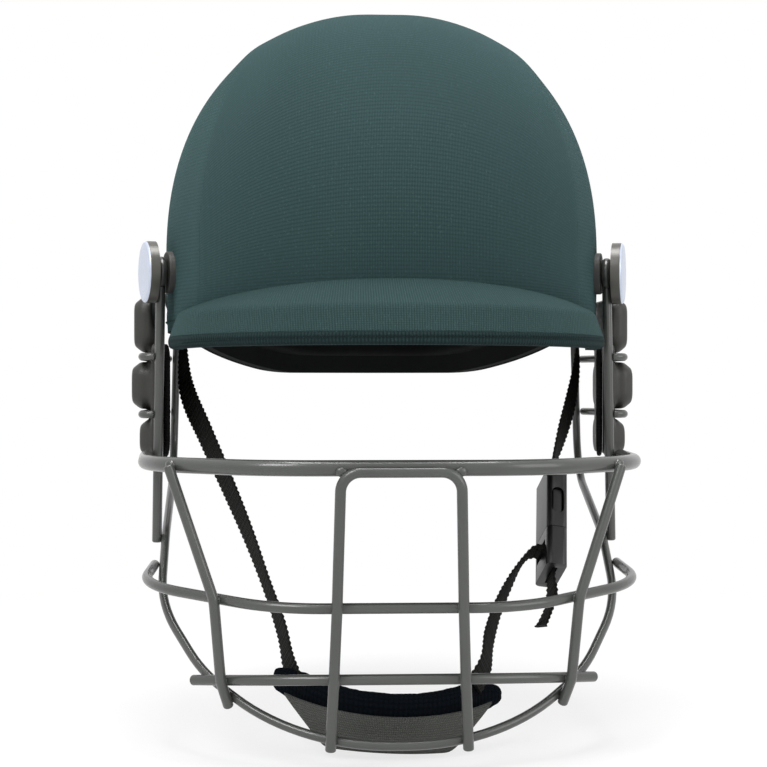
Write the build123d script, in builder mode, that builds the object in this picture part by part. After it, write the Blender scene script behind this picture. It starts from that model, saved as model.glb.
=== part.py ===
# Cricket batting helmet: cloth-covered shell with a fixed peak, a welded wire
# face guard that tilts on two side bosses, and a chin strap with a cup and a
# side-release buckle. Millimetres, +Z up, the face looks towards -Y. The origin
# is where the top of the head touches the crown pad.
import os
from math import atan2, cos, degrees, hypot, radians, sin, tan

from build123d import *

os.makedirs("parts", exist_ok=True)

# Dome: outer size of the cloth-covered shell
half_width = 102.0
front_depth = 121.0
rear_depth = 124.0
dome_height = 115.0
dome_power = 2.3
skirt_height = 62.0
skirt_taper = 2.5
profile_steps = 6

# Layers of the dome, from outside to inside
cover_thickness = 1.1
shell_thickness = 3.2
liner_thickness = 9.0
pad_thickness = 8.0
layer_gap = 0.25

# Rim of the dome, as drops below its widest level
brow_rim_drop = 20.0
side_rim_drop = 33.0
rear_rim_drop = 51.0
brow_rim_reach = 84.0
temple_reach = 62.0
ear_back_reach = 40.0
nape_reach = 104.0
rim_bend = 14.0
liner_rim_rise = 9.0
pad_rim_rise = 13.0

# Comfort pads: how far each reaches
crown_pad_radius = 42.0
brow_pad_half_width = 62.0
brow_pad_height = 32.0
nape_pad_half_width = 56.0
nape_pad_height = 38.0
side_pad_length = 58.0
side_pad_height = 34.0
pad_corner = 7.0

# Peak: an insert, its cloth and the ribbed hem under the lip
peak_half_width = 97.0
peak_reach = 115.0
peak_root = 40.0
peak_inner_radius = 58.0
peak_top_drop = 9.0
peak_slope_start = 67.0
brow_flat_share = 0.9
peak_lip_round = 4.0
lip_face_run = 4.5
peak_lip_drop = 40.8
lip_top_drop = 26.2
lip_bottom_width = 7.0
peak_underside_rise = 8.0
peak_cloth = 1.1
peak_hem_height = 4.0
peak_hem_thickness = 1.3

# Side bosses, pivot hardware and caps
boss_forward = 35.0
boss_drop = 6.5
boss_tilt = 15.0
boss_diameter = 19.0
boss_length = 2.3
cap_diameter = 28.0
cap_thickness = 5.2
cap_edge = 1.4
screw_diameter = 5.0
screw_head_diameter = 9.5
screw_head_height = 3.0
screw_clearance = 0.3
nut_diameter = 13.0
nut_height = 4.2
hardware_gap = 0.3
cap_recess_gap = 0.25
cap_gap = 0.35

# Rear studs, which ride in the long loops of the perimeter wire
stud_back = 40.0
stud_drop = 15.0
stud_washer_diameter = 14.0
stud_washer_thickness = 1.6
stud_spacer_diameter = 5.2

# Face guard wires
bar_diameter = 4.4
top_bar_diameter = 6.5
loop_diameter = 3.8
hoop_diameter = 3.6
weld_sink = 0.14
outer_weld_ease = 0.24
wire_end_share = 0.42

# Perimeter wire, from the rear loops round the jaw to the chin
rear_wire_half_width = 101.0
jaw_drop = 101.0
upright_foot_drop = 126.0
upright_foot_half_width = 99.7
upright_foot_forward = 38.0
cheek_share = 0.353
cheek_half_width = 99.5
chin_corner_share = 0.675
chin_corner_half_width = 80.0
chin_half_width = 40.0
chin_forward = 140.4
chin_drop = 202.0
jaw_bend = 26.0
foot_bend = 55.0
cheek_bend = 80.0
chin_bend = 88.0
slot_width = 5.8
tilt_travel = 6.0
slot_spare = 1.2

# Horizontal bars: front reach, drop and plan corners
top_bar_forward = 148.0
top_bar_drop = 90.5
top_bar_corner = 55.0
top_bar_shoulder = 104.0
top_bar_shoulder_forward = 103.0
top_bar_bend = 58.0
top_bar_overrun = 4.0
middle_bar_forward = 143.0
middle_bar_drop = 146.6
middle_bar_corner = 50.0
middle_bar_shoulder = 106.5
middle_bar_shoulder_forward = 95.0
middle_bar_bend = 55.0
middle_end_bend = 44.0
middle_end_drop = 137.8
lower_bar_forward = 139.8
lower_bar_drop = 175.5
lower_bar_corner = 46.0
lower_bar_bend = 78.0
lower_bar_overrun = 7.0
lower_seat_half_width = 76.0

# Upright bars of the guard: half widths at the top, middle and bottom
hoop_top_half_width = 23.8
hoop_middle_half_width = 25.2
hoop_bottom_half_width = 26.6
hoop_corner = 8.0
hoop_end_drop = 204.0
hoop_sag = 1.4
outer_top_half_width = 89.6
outer_middle_half_width = 71.8
outer_low_half_width = 69.0
outer_bottom_half_width = 67.3
outer_end_drop = 189.5
outer_bend = 16.0
outer_low_bend = 5.0
upright_foot_overrun = 3.0

# Ear guards: hoops, moulded pad and lining
upper_hoop_drop = 44.8
lower_hoop_drop = 71.0
ear_hoop_half_width = 110.7
ear_hoop_front_bend = 4.5
ear_hoop_rear_bend = 14.0
ear_hoop_rear_run = 17.0
pad_outer_half_width = 116.0
pad_back = 35.5
core_inner_half_width = 102.8
core_corner = 3.0
pad_core_back = -20.0
plate_back = 24.0
pad_front = 31.0
pad_top_front = 18.0
pad_top_drop = 16.6
pad_bottom_drop = 91.0
pad_core_top_drop = 38.5
hoop_groove = 4.4
bulge_taper = 38.0
bulge_bevel = 4.0
bulge_corner = 7.0
plate_inset = 1.6
lining_front_half_width = 97.6
lining_thickness = 2.2
lining_corner = 9.0
lining_overlap = 1.5
lining_back = -4.0
lining_lean = 12.0

# Chin strap, its anchors and the chin cup
webbing_width = 15.0
webbing_thickness = 1.6
anchor_back = 6.0
anchor_drop = 25.0
anchor_gap = 0.5
anchor_tail = 8.0
rivet_diameter = 4.0
rivet_head_diameter = 8.5
rivet_head_height = 1.3
cup_radius = 53.7
cup_forward = 119.0
cup_half_width = 46.0
cup_thickness = 2.6
cup_top_drop = 191.5
cup_bottom_drop = 208.6
cup_end_rise = 4.5
cup_foot_share = 0.62
cup_underside = 20.0
cup_lining_thickness = 6.0
cup_lining_rise = 7.5
cup_lining_end_rise = 5.5
left_end_angle = 57.0
right_end_angle = 41.0
strap_end_drop = 184.0
strap_lead = 8.0
strap_lead_angle = 8.0

# Buckle
buckle_width = 24.0
buckle_thickness = 9.4
socket_length = 30.0
plug_length = 18.5
buckle_corner = 2.6
buckle_wall = 1.7
window_length = 13.0
window_height = 5.6
cavity_start = 9.0
strap_seat_depth = 6.0
latch_width = 3.6
latch_thickness = 5.0
latch_gap = 0.35
window_share = 0.56
strap_slot_share = 0.42
strap_slot_height = 6.0
tongue_width = 5.0
tongue_length = 17.0
buckle_top_half_width = 76.3
buckle_top_forward = 38.0
buckle_top_drop = 101.2
buckle_foot_half_width = 71.6
buckle_foot_forward = 68.0
buckle_foot_drop = 148.2
buckle_turn = 4.0
tail_length = 12.0
tail_knee_share = 0.5
tail_end_half_width = 64.0
tail_end_forward = 82.0
tail_end_drop = 164.8
tail_turn = 18.0

overrun = 2.0

# Levels and distances that follow from the sizes above
crown_z = cover_thickness + shell_thickness + liner_thickness + pad_thickness + 3 * layer_gap
widest_z = crown_z - dome_height
shell_gap = cover_thickness + layer_gap
liner_gap = shell_gap + shell_thickness + layer_gap
pad_gap = liner_gap + liner_thickness + layer_gap
head_gap = pad_gap + pad_thickness
bar_radius = bar_diameter / 2
top_bar_radius = top_bar_diameter / 2
loop_radius = loop_diameter / 2
hoop_radius = hoop_diameter / 2
bore_radius = screw_diameter / 2 + screw_clearance


def level(drop):
    """Height of a point that lies this far below the dome's widest level."""
    return widest_z - drop


def side_reach(y, gap):
    """Half width of the dome's skin at its widest level, gap inside the cover."""
    depth = rear_depth if y > 0 else front_depth
    return (half_width - gap) * (1 - (y / (depth - gap)) ** 2) ** 0.5


def write(builder, name):
    """Label a finished piece and write it under its name."""
    builder.part.label = name
    export_step(builder.part, f"parts/{name}.step")


# Dome solids
def dome_half(gap, depth, turn):
    """Front or rear half of the dome, its skin lying gap inside the cover."""
    reach = half_width - gap
    rise = dome_height - gap
    quarter = [radians(90 * step / profile_steps) for step in range(profile_steps)]
    arch = [
        (reach * sin(angle) ** (2 / dome_power), widest_z + rise * cos(angle) ** (2 / dome_power))
        for angle in quarter
    ]
    arch.append((reach, widest_z))
    foot = (reach - skirt_taper, widest_z - skirt_height)
    with BuildPart() as half:
        with BuildSketch(Plane.XZ):
            with BuildLine():
                Spline(*arch, tangents=((1, 0), (0, -1)))
                TangentArc(arch[-1], foot, tangent=(0, -1))
                Polyline(foot, (0, foot[1]), arch[0])
            make_face()
        revolve(axis=Axis((0, 0, 0), (0, 0, turn)), revolution_arc=180)
    return scale(half.part, by=(1, (depth - gap) / reach, 1))


def dome(gap):
    """Whole dome as a closed solid."""
    front = dome_half(gap, front_depth, -1)
    rear = dome_half(gap, rear_depth, 1)
    with BuildPart() as whole:
        add(front)
        add(rear)
    return whole.part


def rim_block(rise):
    """Everything above the rim line, raised by rise, as seen from the side."""
    far = rear_depth + overrun
    near = -front_depth - overrun
    top = crown_z + overrun
    with BuildPart() as block:
        with BuildSketch(Plane.YZ):
            with BuildLine():
                line = FilletPolyline(
                    (near, level(brow_rim_drop) + rise),
                    (-brow_rim_reach, level(brow_rim_drop) + rise),
                    (-temple_reach, level(side_rim_drop) + rise),
                    (ear_back_reach, level(side_rim_drop) + rise),
                    (nape_reach, level(rear_rim_drop) + rise),
                    (far, level(rear_rim_drop) + rise),
                    radius=rim_bend,
                )
                Polyline(line @ 1, (far, top), (near, top), line @ 0)
            make_face()
        extrude(amount=half_width + overrun, both=True)
    return block.part


outer_dome = dome(0)
shell_dome = dome(shell_gap)
shell_inner_dome = dome(shell_gap + shell_thickness)
liner_dome = dome(liner_gap)
liner_inner_dome = dome(liner_gap + liner_thickness)
pad_dome = dome(pad_gap)
head_dome = dome(head_gap)
cover_inner_dome = dome(cover_thickness)
rim_above = rim_block(0)
liner_above = rim_block(liner_rim_rise)
pad_above = rim_block(pad_rim_rise)


# Planes of the side hardware: local Z runs outwards
def side_plane(side, y, drop, tilt, gap):
    """Plane on the dome's skin at the side, gap inside the cover."""
    lean = radians(tilt)
    return Plane(
        origin=(side * side_reach(y, gap), y, level(drop)),
        x_dir=(side * sin(lean), cos(lean), 0),
        z_dir=(side * cos(lean), -sin(lean), 0),
    )


stud_tilt = -degrees(atan2(stud_back * half_width, side_reach(stud_back, 0) * rear_depth))
sides = {"left": -1, "right": 1}
pivot_planes = {
    name: side_plane(side, -boss_forward, boss_drop, boss_tilt, 0) for name, side in sides.items()
}
stud_planes = {name: side_plane(side, stud_back, stud_drop, stud_tilt, 0) for name, side in sides.items()}
strap_half_width = side_reach(anchor_back + webbing_width, shell_gap + shell_thickness) - anchor_gap
strap_centre = strap_half_width - webbing_thickness / 2
strap_pocket_radius = hypot(webbing_width / 2, anchor_tail) + overrun


# Shell, cover and liner
with BuildPart() as shell:
    add(shell_dome)
    add(shell_inner_dome, mode=Mode.SUBTRACT)
    add(rim_above, mode=Mode.INTERSECT)
    for plane in list(pivot_planes.values()) + list(stud_planes.values()):
        with BuildSketch(plane.offset(boss_diameter)):
            Circle(bore_radius)
        extrude(amount=-2 * boss_diameter, mode=Mode.SUBTRACT)
    with BuildSketch(Plane.YZ.offset(-half_width - overrun)):
        with Locations((anchor_back, level(anchor_drop))):
            Circle(rivet_diameter / 2 + screw_clearance)
    extrude(amount=2 * half_width + 2 * overrun, mode=Mode.SUBTRACT)
write(shell, "shell")

with BuildPart() as shell_cover:
    add(outer_dome)
    add(cover_inner_dome, mode=Mode.SUBTRACT)
    add(rim_above, mode=Mode.INTERSECT)
    for plane in pivot_planes.values():
        with BuildSketch(plane.offset(boss_diameter)):
            Circle(boss_diameter / 2 + hardware_gap)
        extrude(amount=-2 * boss_diameter, mode=Mode.SUBTRACT)
    for plane in stud_planes.values():
        with BuildSketch(plane.offset(boss_diameter)):
            Circle(stud_washer_diameter / 2 + hardware_gap)
        extrude(amount=-2 * boss_diameter, mode=Mode.SUBTRACT)
    with BuildSketch(Plane.YZ.offset(-half_width - overrun)):
        with Locations((anchor_back, level(anchor_drop))):
            Circle(rivet_head_diameter / 2 + hardware_gap)
    extrude(amount=2 * half_width + 2 * overrun, mode=Mode.SUBTRACT)
write(shell_cover, "shell_cover")

with BuildPart() as foam_liner:
    add(liner_dome)
    add(liner_inner_dome, mode=Mode.SUBTRACT)
    add(liner_above, mode=Mode.INTERSECT)
    for plane in list(pivot_planes.values()) + list(stud_planes.values()):
        with BuildSketch(plane.offset(boss_diameter)):
            Circle(nut_diameter / 2 + hardware_gap + overrun)
        extrude(amount=-3 * boss_diameter, mode=Mode.SUBTRACT)
    with BuildSketch(Plane.YZ.offset(-half_width)):
        with Locations((anchor_back, level(anchor_drop))):
            Circle(strap_pocket_radius)
    extrude(amount=2 * half_width, mode=Mode.SUBTRACT)
write(foam_liner, "foam_liner")


# Comfort pads inside the liner
def comfort_pad(block):
    """Part of the innermost layer that lies inside a block."""
    with BuildPart() as pad:
        add(pad_dome)
        add(head_dome, mode=Mode.SUBTRACT)
        add(pad_above, mode=Mode.INTERSECT)
        add(block, mode=Mode.INTERSECT)
    return pad


def pad_window(plane, width, height, depth):
    """Rounded block that picks one pad out of the layer."""
    with BuildPart() as window:
        with BuildSketch(plane):
            RectangleRounded(width, height, pad_corner)
        extrude(amount=depth)
    return window.part


brow_middle = level(brow_rim_drop) + pad_rim_rise + brow_pad_height / 2
nape_middle = level(rear_rim_drop) + pad_rim_rise + nape_pad_height / 2
side_middle = level(side_rim_drop) + pad_rim_rise + side_pad_height / 2
brow_pad = comfort_pad(
    pad_window(
        Plane(origin=(0, 0, brow_middle), x_dir=(1, 0, 0), z_dir=(0, -1, 0)),
        2 * brow_pad_half_width,
        brow_pad_height,
        front_depth,
    )
)
write(brow_pad, "brow_pad")
nape_pad = comfort_pad(
    pad_window(
        Plane(origin=(0, 0, nape_middle), x_dir=(-1, 0, 0), z_dir=(0, 1, 0)),
        2 * nape_pad_half_width,
        nape_pad_height,
        rear_depth,
    )
)
write(nape_pad, "nape_pad")
with BuildPart() as crown_block:
    with BuildSketch(Plane.XY.offset(widest_z + dome_height / 2)):
        Circle(crown_pad_radius)
    extrude(amount=dome_height)
crown_pad = comfort_pad(crown_block.part)
write(crown_pad, "crown_pad")
for name, side in sides.items():
    side_pad = comfort_pad(
        pad_window(
            Plane(origin=(0, 0, side_middle), x_dir=(0, side, 0), z_dir=(side, 0, 0)),
            side_pad_length,
            side_pad_height,
            half_width,
        )
    )
    write(side_pad, f"{name}_side_pad")


# Peak: sections are drawn as distance from the peak's centre against height
hem_top_z = level(peak_lip_drop) + peak_hem_height


def peak_outline(skin):
    """Section of the peak, its upper side and lip set in by the skin."""
    top = (peak_inner_radius, level(peak_top_drop) - skin)
    brow = (peak_slope_start, level(peak_top_drop) - skin)
    crest = (peak_reach - lip_face_run - skin, level(lip_top_drop) - skin)
    lip = (peak_reach - skin, level(peak_lip_drop))
    inside = (peak_reach - lip_bottom_width, level(peak_lip_drop))
    hollow = (peak_slope_start, level(peak_lip_drop) + peak_underside_rise)
    root = (peak_inner_radius, level(peak_lip_drop) + peak_underside_rise)
    turn = atan2(brow[1] - crest[1], crest[0] - brow[0])
    flat_limit = brow_flat_share * (peak_slope_start - peak_inner_radius) / tan(turn / 2)
    brow_round = min(peak_slope_start / 2, flat_limit)
    with BuildSketch(Plane.XZ.offset(peak_root)) as outline:
        with BuildLine():
            FilletPolyline(top, brow, crest, lip, radius=[brow_round, peak_lip_round])
            Polyline(lip, inside, hollow, root, top)
        make_face()
    return outline.sketch


def lip_band(inner_skin, outer_skin, above):
    """Skin of the peak above or below the top edge of the hem."""
    height = peak_reach
    outside = peak_outline(outer_skin)
    inside = peak_outline(inner_skin)
    middle = hem_top_z + height / 2 if above else hem_top_z - height / 2
    with BuildSketch(Plane.XZ.offset(peak_root)) as band:
        add(outside)
        add(inside, mode=Mode.SUBTRACT)
        with Locations((peak_reach, middle)):
            Rectangle(2 * peak_reach, height, mode=Mode.INTERSECT)
    return band.sketch


def peak_ring(section):
    """Carry a section round the front of the peak and fit it to the dome."""
    with BuildPart() as ring:
        add(section)
        revolve(axis=Axis((0, -peak_root, 0), (0, 0, -1)), revolution_arc=180)
    flat = scale(ring.part, by=(peak_half_width / peak_reach, 1, 1))
    with BuildPart() as fitted:
        add(flat)
        add(outer_dome, mode=Mode.SUBTRACT)
    return fitted


peak_insert = peak_ring(peak_outline(peak_cloth))
write(peak_insert, "peak_insert")
peak_cover = peak_ring(lip_band(peak_cloth, 0, True))
write(peak_cover, "peak_cover")
peak_hem = peak_ring(lip_band(peak_cloth, peak_cloth - peak_hem_thickness, False))
write(peak_hem, "peak_hem")


# Side hardware: bosses, pivot screws and nuts, caps
def disc(plane, start, length, diameter, bore=0.0):
    """Round piece on a plane, from start outwards, with a bore where one is given."""
    with BuildPart() as piece:
        with BuildSketch(plane.offset(start)):
            Circle(diameter / 2)
            if bore:
                Circle(bore / 2, mode=Mode.SUBTRACT)
        extrude(amount=length)
    return piece.part


def merge(pieces):
    """One node of several pieces."""
    with BuildPart() as node:
        for piece in pieces:
            add(piece)
    return node


def cut(piece, tool, mode=Mode.SUBTRACT):
    """A piece cut back from, or kept inside, a larger solid."""
    with BuildPart() as result:
        add(piece)
        add(tool, mode=mode)
    return result


eyelet_end = boss_length + bar_diameter + hardware_gap
shell_seat = cover_thickness + layer_gap
nut_start = -shell_seat - shell_thickness - overrun
for name, plane in pivot_planes.items():
    outward = Axis(plane.origin, plane.z_dir)
    block = disc(
        plane,
        -2 * boss_length - shell_seat,
        3 * boss_length + shell_seat,
        boss_diameter,
        2 * bore_radius,
    )
    pivot_boss = cut(block, shell_dome)
    with pivot_boss:
        rim = pivot_boss.faces().sort_by(outward)[-1].edges().sort_by(SortBy.LENGTH)[-1]
        fillet(rim, cap_edge / 2)
    write(pivot_boss, f"{name}_pivot_boss")

    head = disc(plane, eyelet_end, screw_head_height, screw_head_diameter)
    shank = disc(plane, nut_start - nut_height / 2, eyelet_end - nut_start + nut_height / 2, screw_diameter)
    write(merge([head, shank]), f"{name}_pivot_screw")

    nut = disc(plane, nut_start - nut_height, nut_height + 2 * overrun, nut_diameter, screw_diameter)
    write(cut(nut, shell_inner_dome, Mode.INTERSECT), f"{name}_pivot_nut")

    recess = disc(
        plane,
        eyelet_end,
        screw_head_height + cap_recess_gap,
        screw_head_diameter + 2 * cap_recess_gap,
    )
    pivot_cap = merge([disc(plane, eyelet_end + cap_gap, cap_thickness, cap_diameter)])
    with pivot_cap:
        fillet(pivot_cap.faces().sort_by(outward)[-1].edges(), cap_edge)
        add(recess, mode=Mode.SUBTRACT)
    write(pivot_cap, f"{name}_pivot_cap")

# Rear studs: bush, washer, screw and nut, two of each
stud_bush_end = layer_gap + loop_diameter + 2 * hardware_gap
loop_centre = layer_gap + hardware_gap + loop_radius
stud_bore = screw_diameter / 2
stud_head = stud_bush_end + stud_washer_thickness
bushes = [
    disc(plane, -2 * overrun, stud_bush_end + 2 * overrun, stud_spacer_diameter, stud_bore)
    for plane in stud_planes.values()
]
write(cut(bushes, shell_dome), "slide_bushes")
washers = [
    disc(plane, stud_bush_end, stud_washer_thickness, stud_washer_diameter, stud_bore)
    for plane in stud_planes.values()
]
write(merge(washers), "slide_washers")
stud_screws = []
for plane in stud_planes.values():
    stud_screws.append(disc(plane, stud_head, screw_head_height / 2, screw_head_diameter))
    stem_start = nut_start - nut_height / 2
    stud_screws.append(disc(plane, stem_start, stud_head - stem_start, stud_bore))
write(merge(stud_screws), "slide_screws")
stud_nuts = [
    disc(plane, nut_start - nut_height, nut_height + 2 * overrun, nut_diameter, stud_bore)
    for plane in stud_planes.values()
]
write(cut(stud_nuts, shell_inner_dome, Mode.INTERSECT), "slide_nuts")


# Face guard wires
def rod(path, radius):
    """Round wire along a path, its cut ends rounded over."""
    with BuildPart() as wire:
        with BuildSketch(Plane(origin=path @ 0, z_dir=path % 0)):
            Circle(radius)
        sweep(path=path)
        ends = wire.faces().filter_by(GeomType.PLANE)
        if ends:
            fillet(ends.edges(), radius * wire_end_share)
    return wire


def mirrored(points):
    """Points of the left half followed by the same points on the right."""
    return points + [(-x, y, z) for x, y, z in reversed(points)]


def point_at_x(path, x):
    """Place along a left-to-right path where it crosses this X."""
    low, high = 0.0, 1.0
    for _ in range(40):
        middle = (low + high) / 2
        if (path @ middle).X < x:
            low = middle
        else:
            high = middle
    return (low + high) / 2


def in_front(path, x, reach):
    """Point that stands out from a bar by reach, level with the bar at this X."""
    share = point_at_x(path, x)
    along = path % share
    out = Vector(along.Y, -along.X, 0).normalized()
    return path @ share + out * reach


# Perimeter wire
slot_heading = radians(
    degrees(atan2(level(stud_drop) - level(boss_drop), stud_back + boss_forward)) + tilt_travel / 2
)
slot_up = Vector(0, -sin(slot_heading), cos(slot_heading))
slot_throw = 2 * hypot(stud_back + boss_forward, stud_drop - boss_drop) * sin(radians(tilt_travel) / 2)
slot_length = slot_throw + 2 * slot_spare
slot_round = slot_width / 2 + loop_radius
foot_z = level(upright_foot_drop)
chin_z = level(chin_drop)


def jaw_point(half_width_there, share):
    """Point of the left jaw line, a share of the way from the upright's foot to the chin."""
    y = -upright_foot_forward - (chin_forward - upright_foot_forward) * share
    return (-half_width_there, y, foot_z + (chin_z - foot_z) * share)


def slot_frame(plane):
    """Plane of a rear loop, with its local Y up along the slot."""
    middle = plane.origin + plane.z_dir * loop_centre + slot_up * (slot_throw / 2)
    across = slot_up.cross(plane.z_dir)
    return Plane(origin=middle, x_dir=across, z_dir=plane.z_dir)


left_slot = slot_frame(stud_planes["left"])
slot_foot = left_slot.origin - slot_up * (slot_length / 2 + slot_round)
perimeter_points = [
    tuple(slot_foot),
    (-rear_wire_half_width, slot_foot.Y, level(jaw_drop)),
    (-upright_foot_half_width, -upright_foot_forward, foot_z),
    jaw_point(cheek_half_width, cheek_share),
    jaw_point(chin_corner_half_width, chin_corner_share),
    jaw_point(chin_half_width, 1),
]
perimeter_bends = [jaw_bend, foot_bend, cheek_bend, cheek_bend, chin_bend]
with BuildLine() as perimeter_path:
    FilletPolyline(*mirrored(perimeter_points), radius=perimeter_bends + perimeter_bends[::-1])
perimeter_line = perimeter_path.wire()
wires = [rod(perimeter_line, loop_radius).part]
for plane in stud_planes.values():
    with BuildSketch(slot_frame(plane)) as slot:
        SlotCenterToCenter(slot_length, 2 * slot_round, rotation=90)
    wires.append(rod(slot.sketch.wire(), loop_radius).part)
write(merge(wires), "perimeter_wire")

# Side uprights, each with an eyelet round the pivot screw
eyelet_centre = boss_length + hardware_gap / 2 + bar_radius
eyelet_round = bore_radius + bar_radius
upright_lines = {}
for name, plane in pivot_planes.items():
    side = sides[name]
    centre = plane.origin + plane.z_dir * eyelet_centre
    top = centre - Vector(0, 0, eyelet_round)
    foot_x = side * (upright_foot_half_width + loop_radius + bar_radius - weld_sink)
    foot = Vector(foot_x, -upright_foot_forward, foot_z - upright_foot_overrun)
    upright_lines[name] = (top, foot)
    with BuildLine() as upright_path:
        Line(top, foot)
    leg = rod(upright_path.wire(), bar_radius).part
    with BuildPart() as upright:
        add(leg)
        with Locations(Plane(origin=centre, x_dir=plane.x_dir, z_dir=plane.z_dir)):
            Torus(eyelet_round, bar_radius)
    write(upright, f"{name}_upright")


def upright_at(name, z):
    """Centre of a side upright at this height."""
    top, foot = upright_lines[name]
    return top + (foot - top) * ((top.Z - z) / (top.Z - foot.Z))


# Horizontal bars
top_bar_z = level(top_bar_drop)
upright_there = upright_at("left", top_bar_z)
top_bar_seat = upright_there.X - bar_radius - top_bar_radius + weld_sink
shoulder = Vector(-top_bar_shoulder, -top_bar_shoulder_forward, top_bar_z)
run_back = Vector(top_bar_seat, upright_there.Y, top_bar_z) - shoulder
run_end = shoulder + run_back * ((run_back.length + top_bar_overrun) / run_back.length)
top_bar_points = [tuple(run_end), tuple(shoulder), (-top_bar_corner, -top_bar_forward, top_bar_z)]
with BuildLine() as top_bar_path:
    FilletPolyline(*mirrored(top_bar_points), radius=top_bar_bend)
top_bar = rod(top_bar_path.wire(), top_bar_radius)
write(top_bar, "top_bar")

cheek_drop = upright_foot_drop + (chin_drop - upright_foot_drop) * cheek_share
middle_share = (middle_end_drop - upright_foot_drop) / (cheek_drop - upright_foot_drop)
foot_point = Vector(perimeter_points[2])
cheek_point = Vector(perimeter_points[3])
middle_seat = foot_point + (cheek_point - foot_point) * middle_share
middle_front_z = level(middle_bar_drop)


def middle_z(y):
    """Height of the middle bar, which rises evenly towards its ends."""
    share = (y + middle_bar_forward) / (middle_seat.Y + middle_bar_forward)
    return middle_front_z + (middle_seat.Z - middle_front_z) * share


middle_end_y = middle_seat.Y + bar_radius
middle_bar_points = [
    (middle_seat.X - loop_radius - bar_radius + weld_sink, middle_end_y, middle_z(middle_end_y)),
    (-middle_bar_shoulder, -middle_bar_shoulder_forward, middle_z(-middle_bar_shoulder_forward)),
    (-middle_bar_corner, -middle_bar_forward, middle_front_z),
]
with BuildLine() as middle_bar_path:
    FilletPolyline(
        *mirrored(middle_bar_points),
        radius=[middle_end_bend, middle_bar_bend, middle_bar_bend, middle_end_bend],
    )
middle_bar = rod(middle_bar_path.wire(), bar_radius)
write(middle_bar, "middle_bar")

loop_step = loop_radius + bar_radius - weld_sink
lower_seat = in_front(perimeter_line, -lower_seat_half_width, loop_step)
lower_corner = Vector(-lower_bar_corner, -lower_bar_forward, level(lower_bar_drop))
lower_leg = lower_seat - lower_corner
lower_end = lower_seat + lower_leg * (lower_bar_overrun / lower_leg.length)
lower_bar_points = [tuple(lower_end), tuple(lower_corner)]
with BuildLine() as lower_bar_path:
    FilletPolyline(*mirrored(lower_bar_points), radius=lower_bar_bend)
lower_bar = rod(lower_bar_path.wire(), bar_radius)
write(lower_bar, "lower_bar")

# Centre hoop and outer bars, which stand in front of the horizontal bars
bar_step = 2 * bar_radius - weld_sink
top_step = top_bar_radius + bar_radius - weld_sink
top_line = top_bar_path.wire()
middle_line = middle_bar_path.wire()
lower_line = lower_bar_path.wire()


def past(start, through, z):
    """Point where the line from start through another point reaches this height."""
    return start + (through - start) * ((z - start.Z) / (through.Z - start.Z))


def leg_points(top_x, middle_x, low_x, bottom_x, end_z, ease=0.0):
    """Centre line of an upright bar on the left, from its lower end to the top bar."""
    low = in_front(lower_line, -low_x, bar_step + ease)
    bottom = in_front(perimeter_line, -bottom_x, loop_step + ease)
    middle = in_front(middle_line, -middle_x, bar_step)
    top = in_front(top_line, -top_x, top_step)
    return [tuple(past(low, bottom, end_z)), tuple(low), tuple(middle), tuple(top)]


hoop_leg = leg_points(
    hoop_top_half_width,
    hoop_middle_half_width,
    (hoop_middle_half_width + hoop_bottom_half_width) / 2,
    hoop_bottom_half_width,
    level(hoop_end_drop),
)
hoop_leg[-1] = tuple(Vector(hoop_leg[-1]) - Vector(0, 0, hoop_sag))
hoop_bends = [outer_bend, outer_bend, hoop_corner]
with BuildLine() as hoop_path:
    FilletPolyline(*mirrored(hoop_leg), radius=hoop_bends + hoop_bends[::-1])
centre_hoop = rod(hoop_path.wire(), bar_radius)
write(centre_hoop, "centre_hoop")

outer_leg = leg_points(
    outer_top_half_width,
    outer_middle_half_width,
    outer_low_half_width,
    outer_bottom_half_width,
    level(outer_end_drop),
    outer_weld_ease,
)
for name, side in sides.items():
    with BuildLine() as outer_path:
        FilletPolyline(*[(-side * x, y, z) for x, y, z in outer_leg], radius=[outer_low_bend, outer_bend])
    outer_bar = rod(outer_path.wire(), bar_radius)
    write(outer_bar, f"{name}_outer_bar")

# Ear guard hoops
rear_top = Vector(perimeter_points[0])
rear_foot = Vector(perimeter_points[1])
for name, side in sides.items():
    for place, drop in {"upper": upper_hoop_drop, "lower": lower_hoop_drop}.items():
        z = level(drop)
        front = upright_at(name, z)
        rear = past(rear_top, rear_foot, z)
        start_x = abs(front.X) + bar_radius - weld_sink
        end_x = abs(rear.X) + loop_radius + hoop_radius - weld_sink
        hoop_points = [
            (side * start_x, front.Y, z),
            (side * ear_hoop_half_width, front.Y, z),
            (side * ear_hoop_half_width, rear.Y - ear_hoop_rear_run, z),
            (side * end_x, rear.Y + loop_radius, z),
        ]
        with BuildLine() as ear_path:
            FilletPolyline(*hoop_points, radius=[ear_hoop_front_bend, ear_hoop_rear_bend])
        ear_hoop = rod(ear_path.wire(), hoop_radius)
        write(ear_hoop, f"{name}_{place}_hoop")


# Ear pads: a core between the wires, a plate outside them and three bulges
def side_block(side, start, end, front, back, top_drop, bottom_drop, corner, taper=0.0, lean=0.0):
    """Rounded block seen from the side, carried outwards. Lean swings its back outwards."""
    swing = radians(lean)
    half_run = (front + back) / 2
    middle = Plane(
        origin=(
            side * (start + half_run * sin(swing)),
            half_run * cos(swing) - front,
            level((top_drop + bottom_drop) / 2),
        ),
        x_dir=(side * sin(swing), cos(swing), 0),
        z_dir=(side * cos(swing), -sin(swing), 0),
    )
    with BuildPart() as block:
        with BuildSketch(middle):
            RectangleRounded(front + back, bottom_drop - top_drop, corner)
        extrude(amount=end - start, taper=taper)
    return block.part


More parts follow.
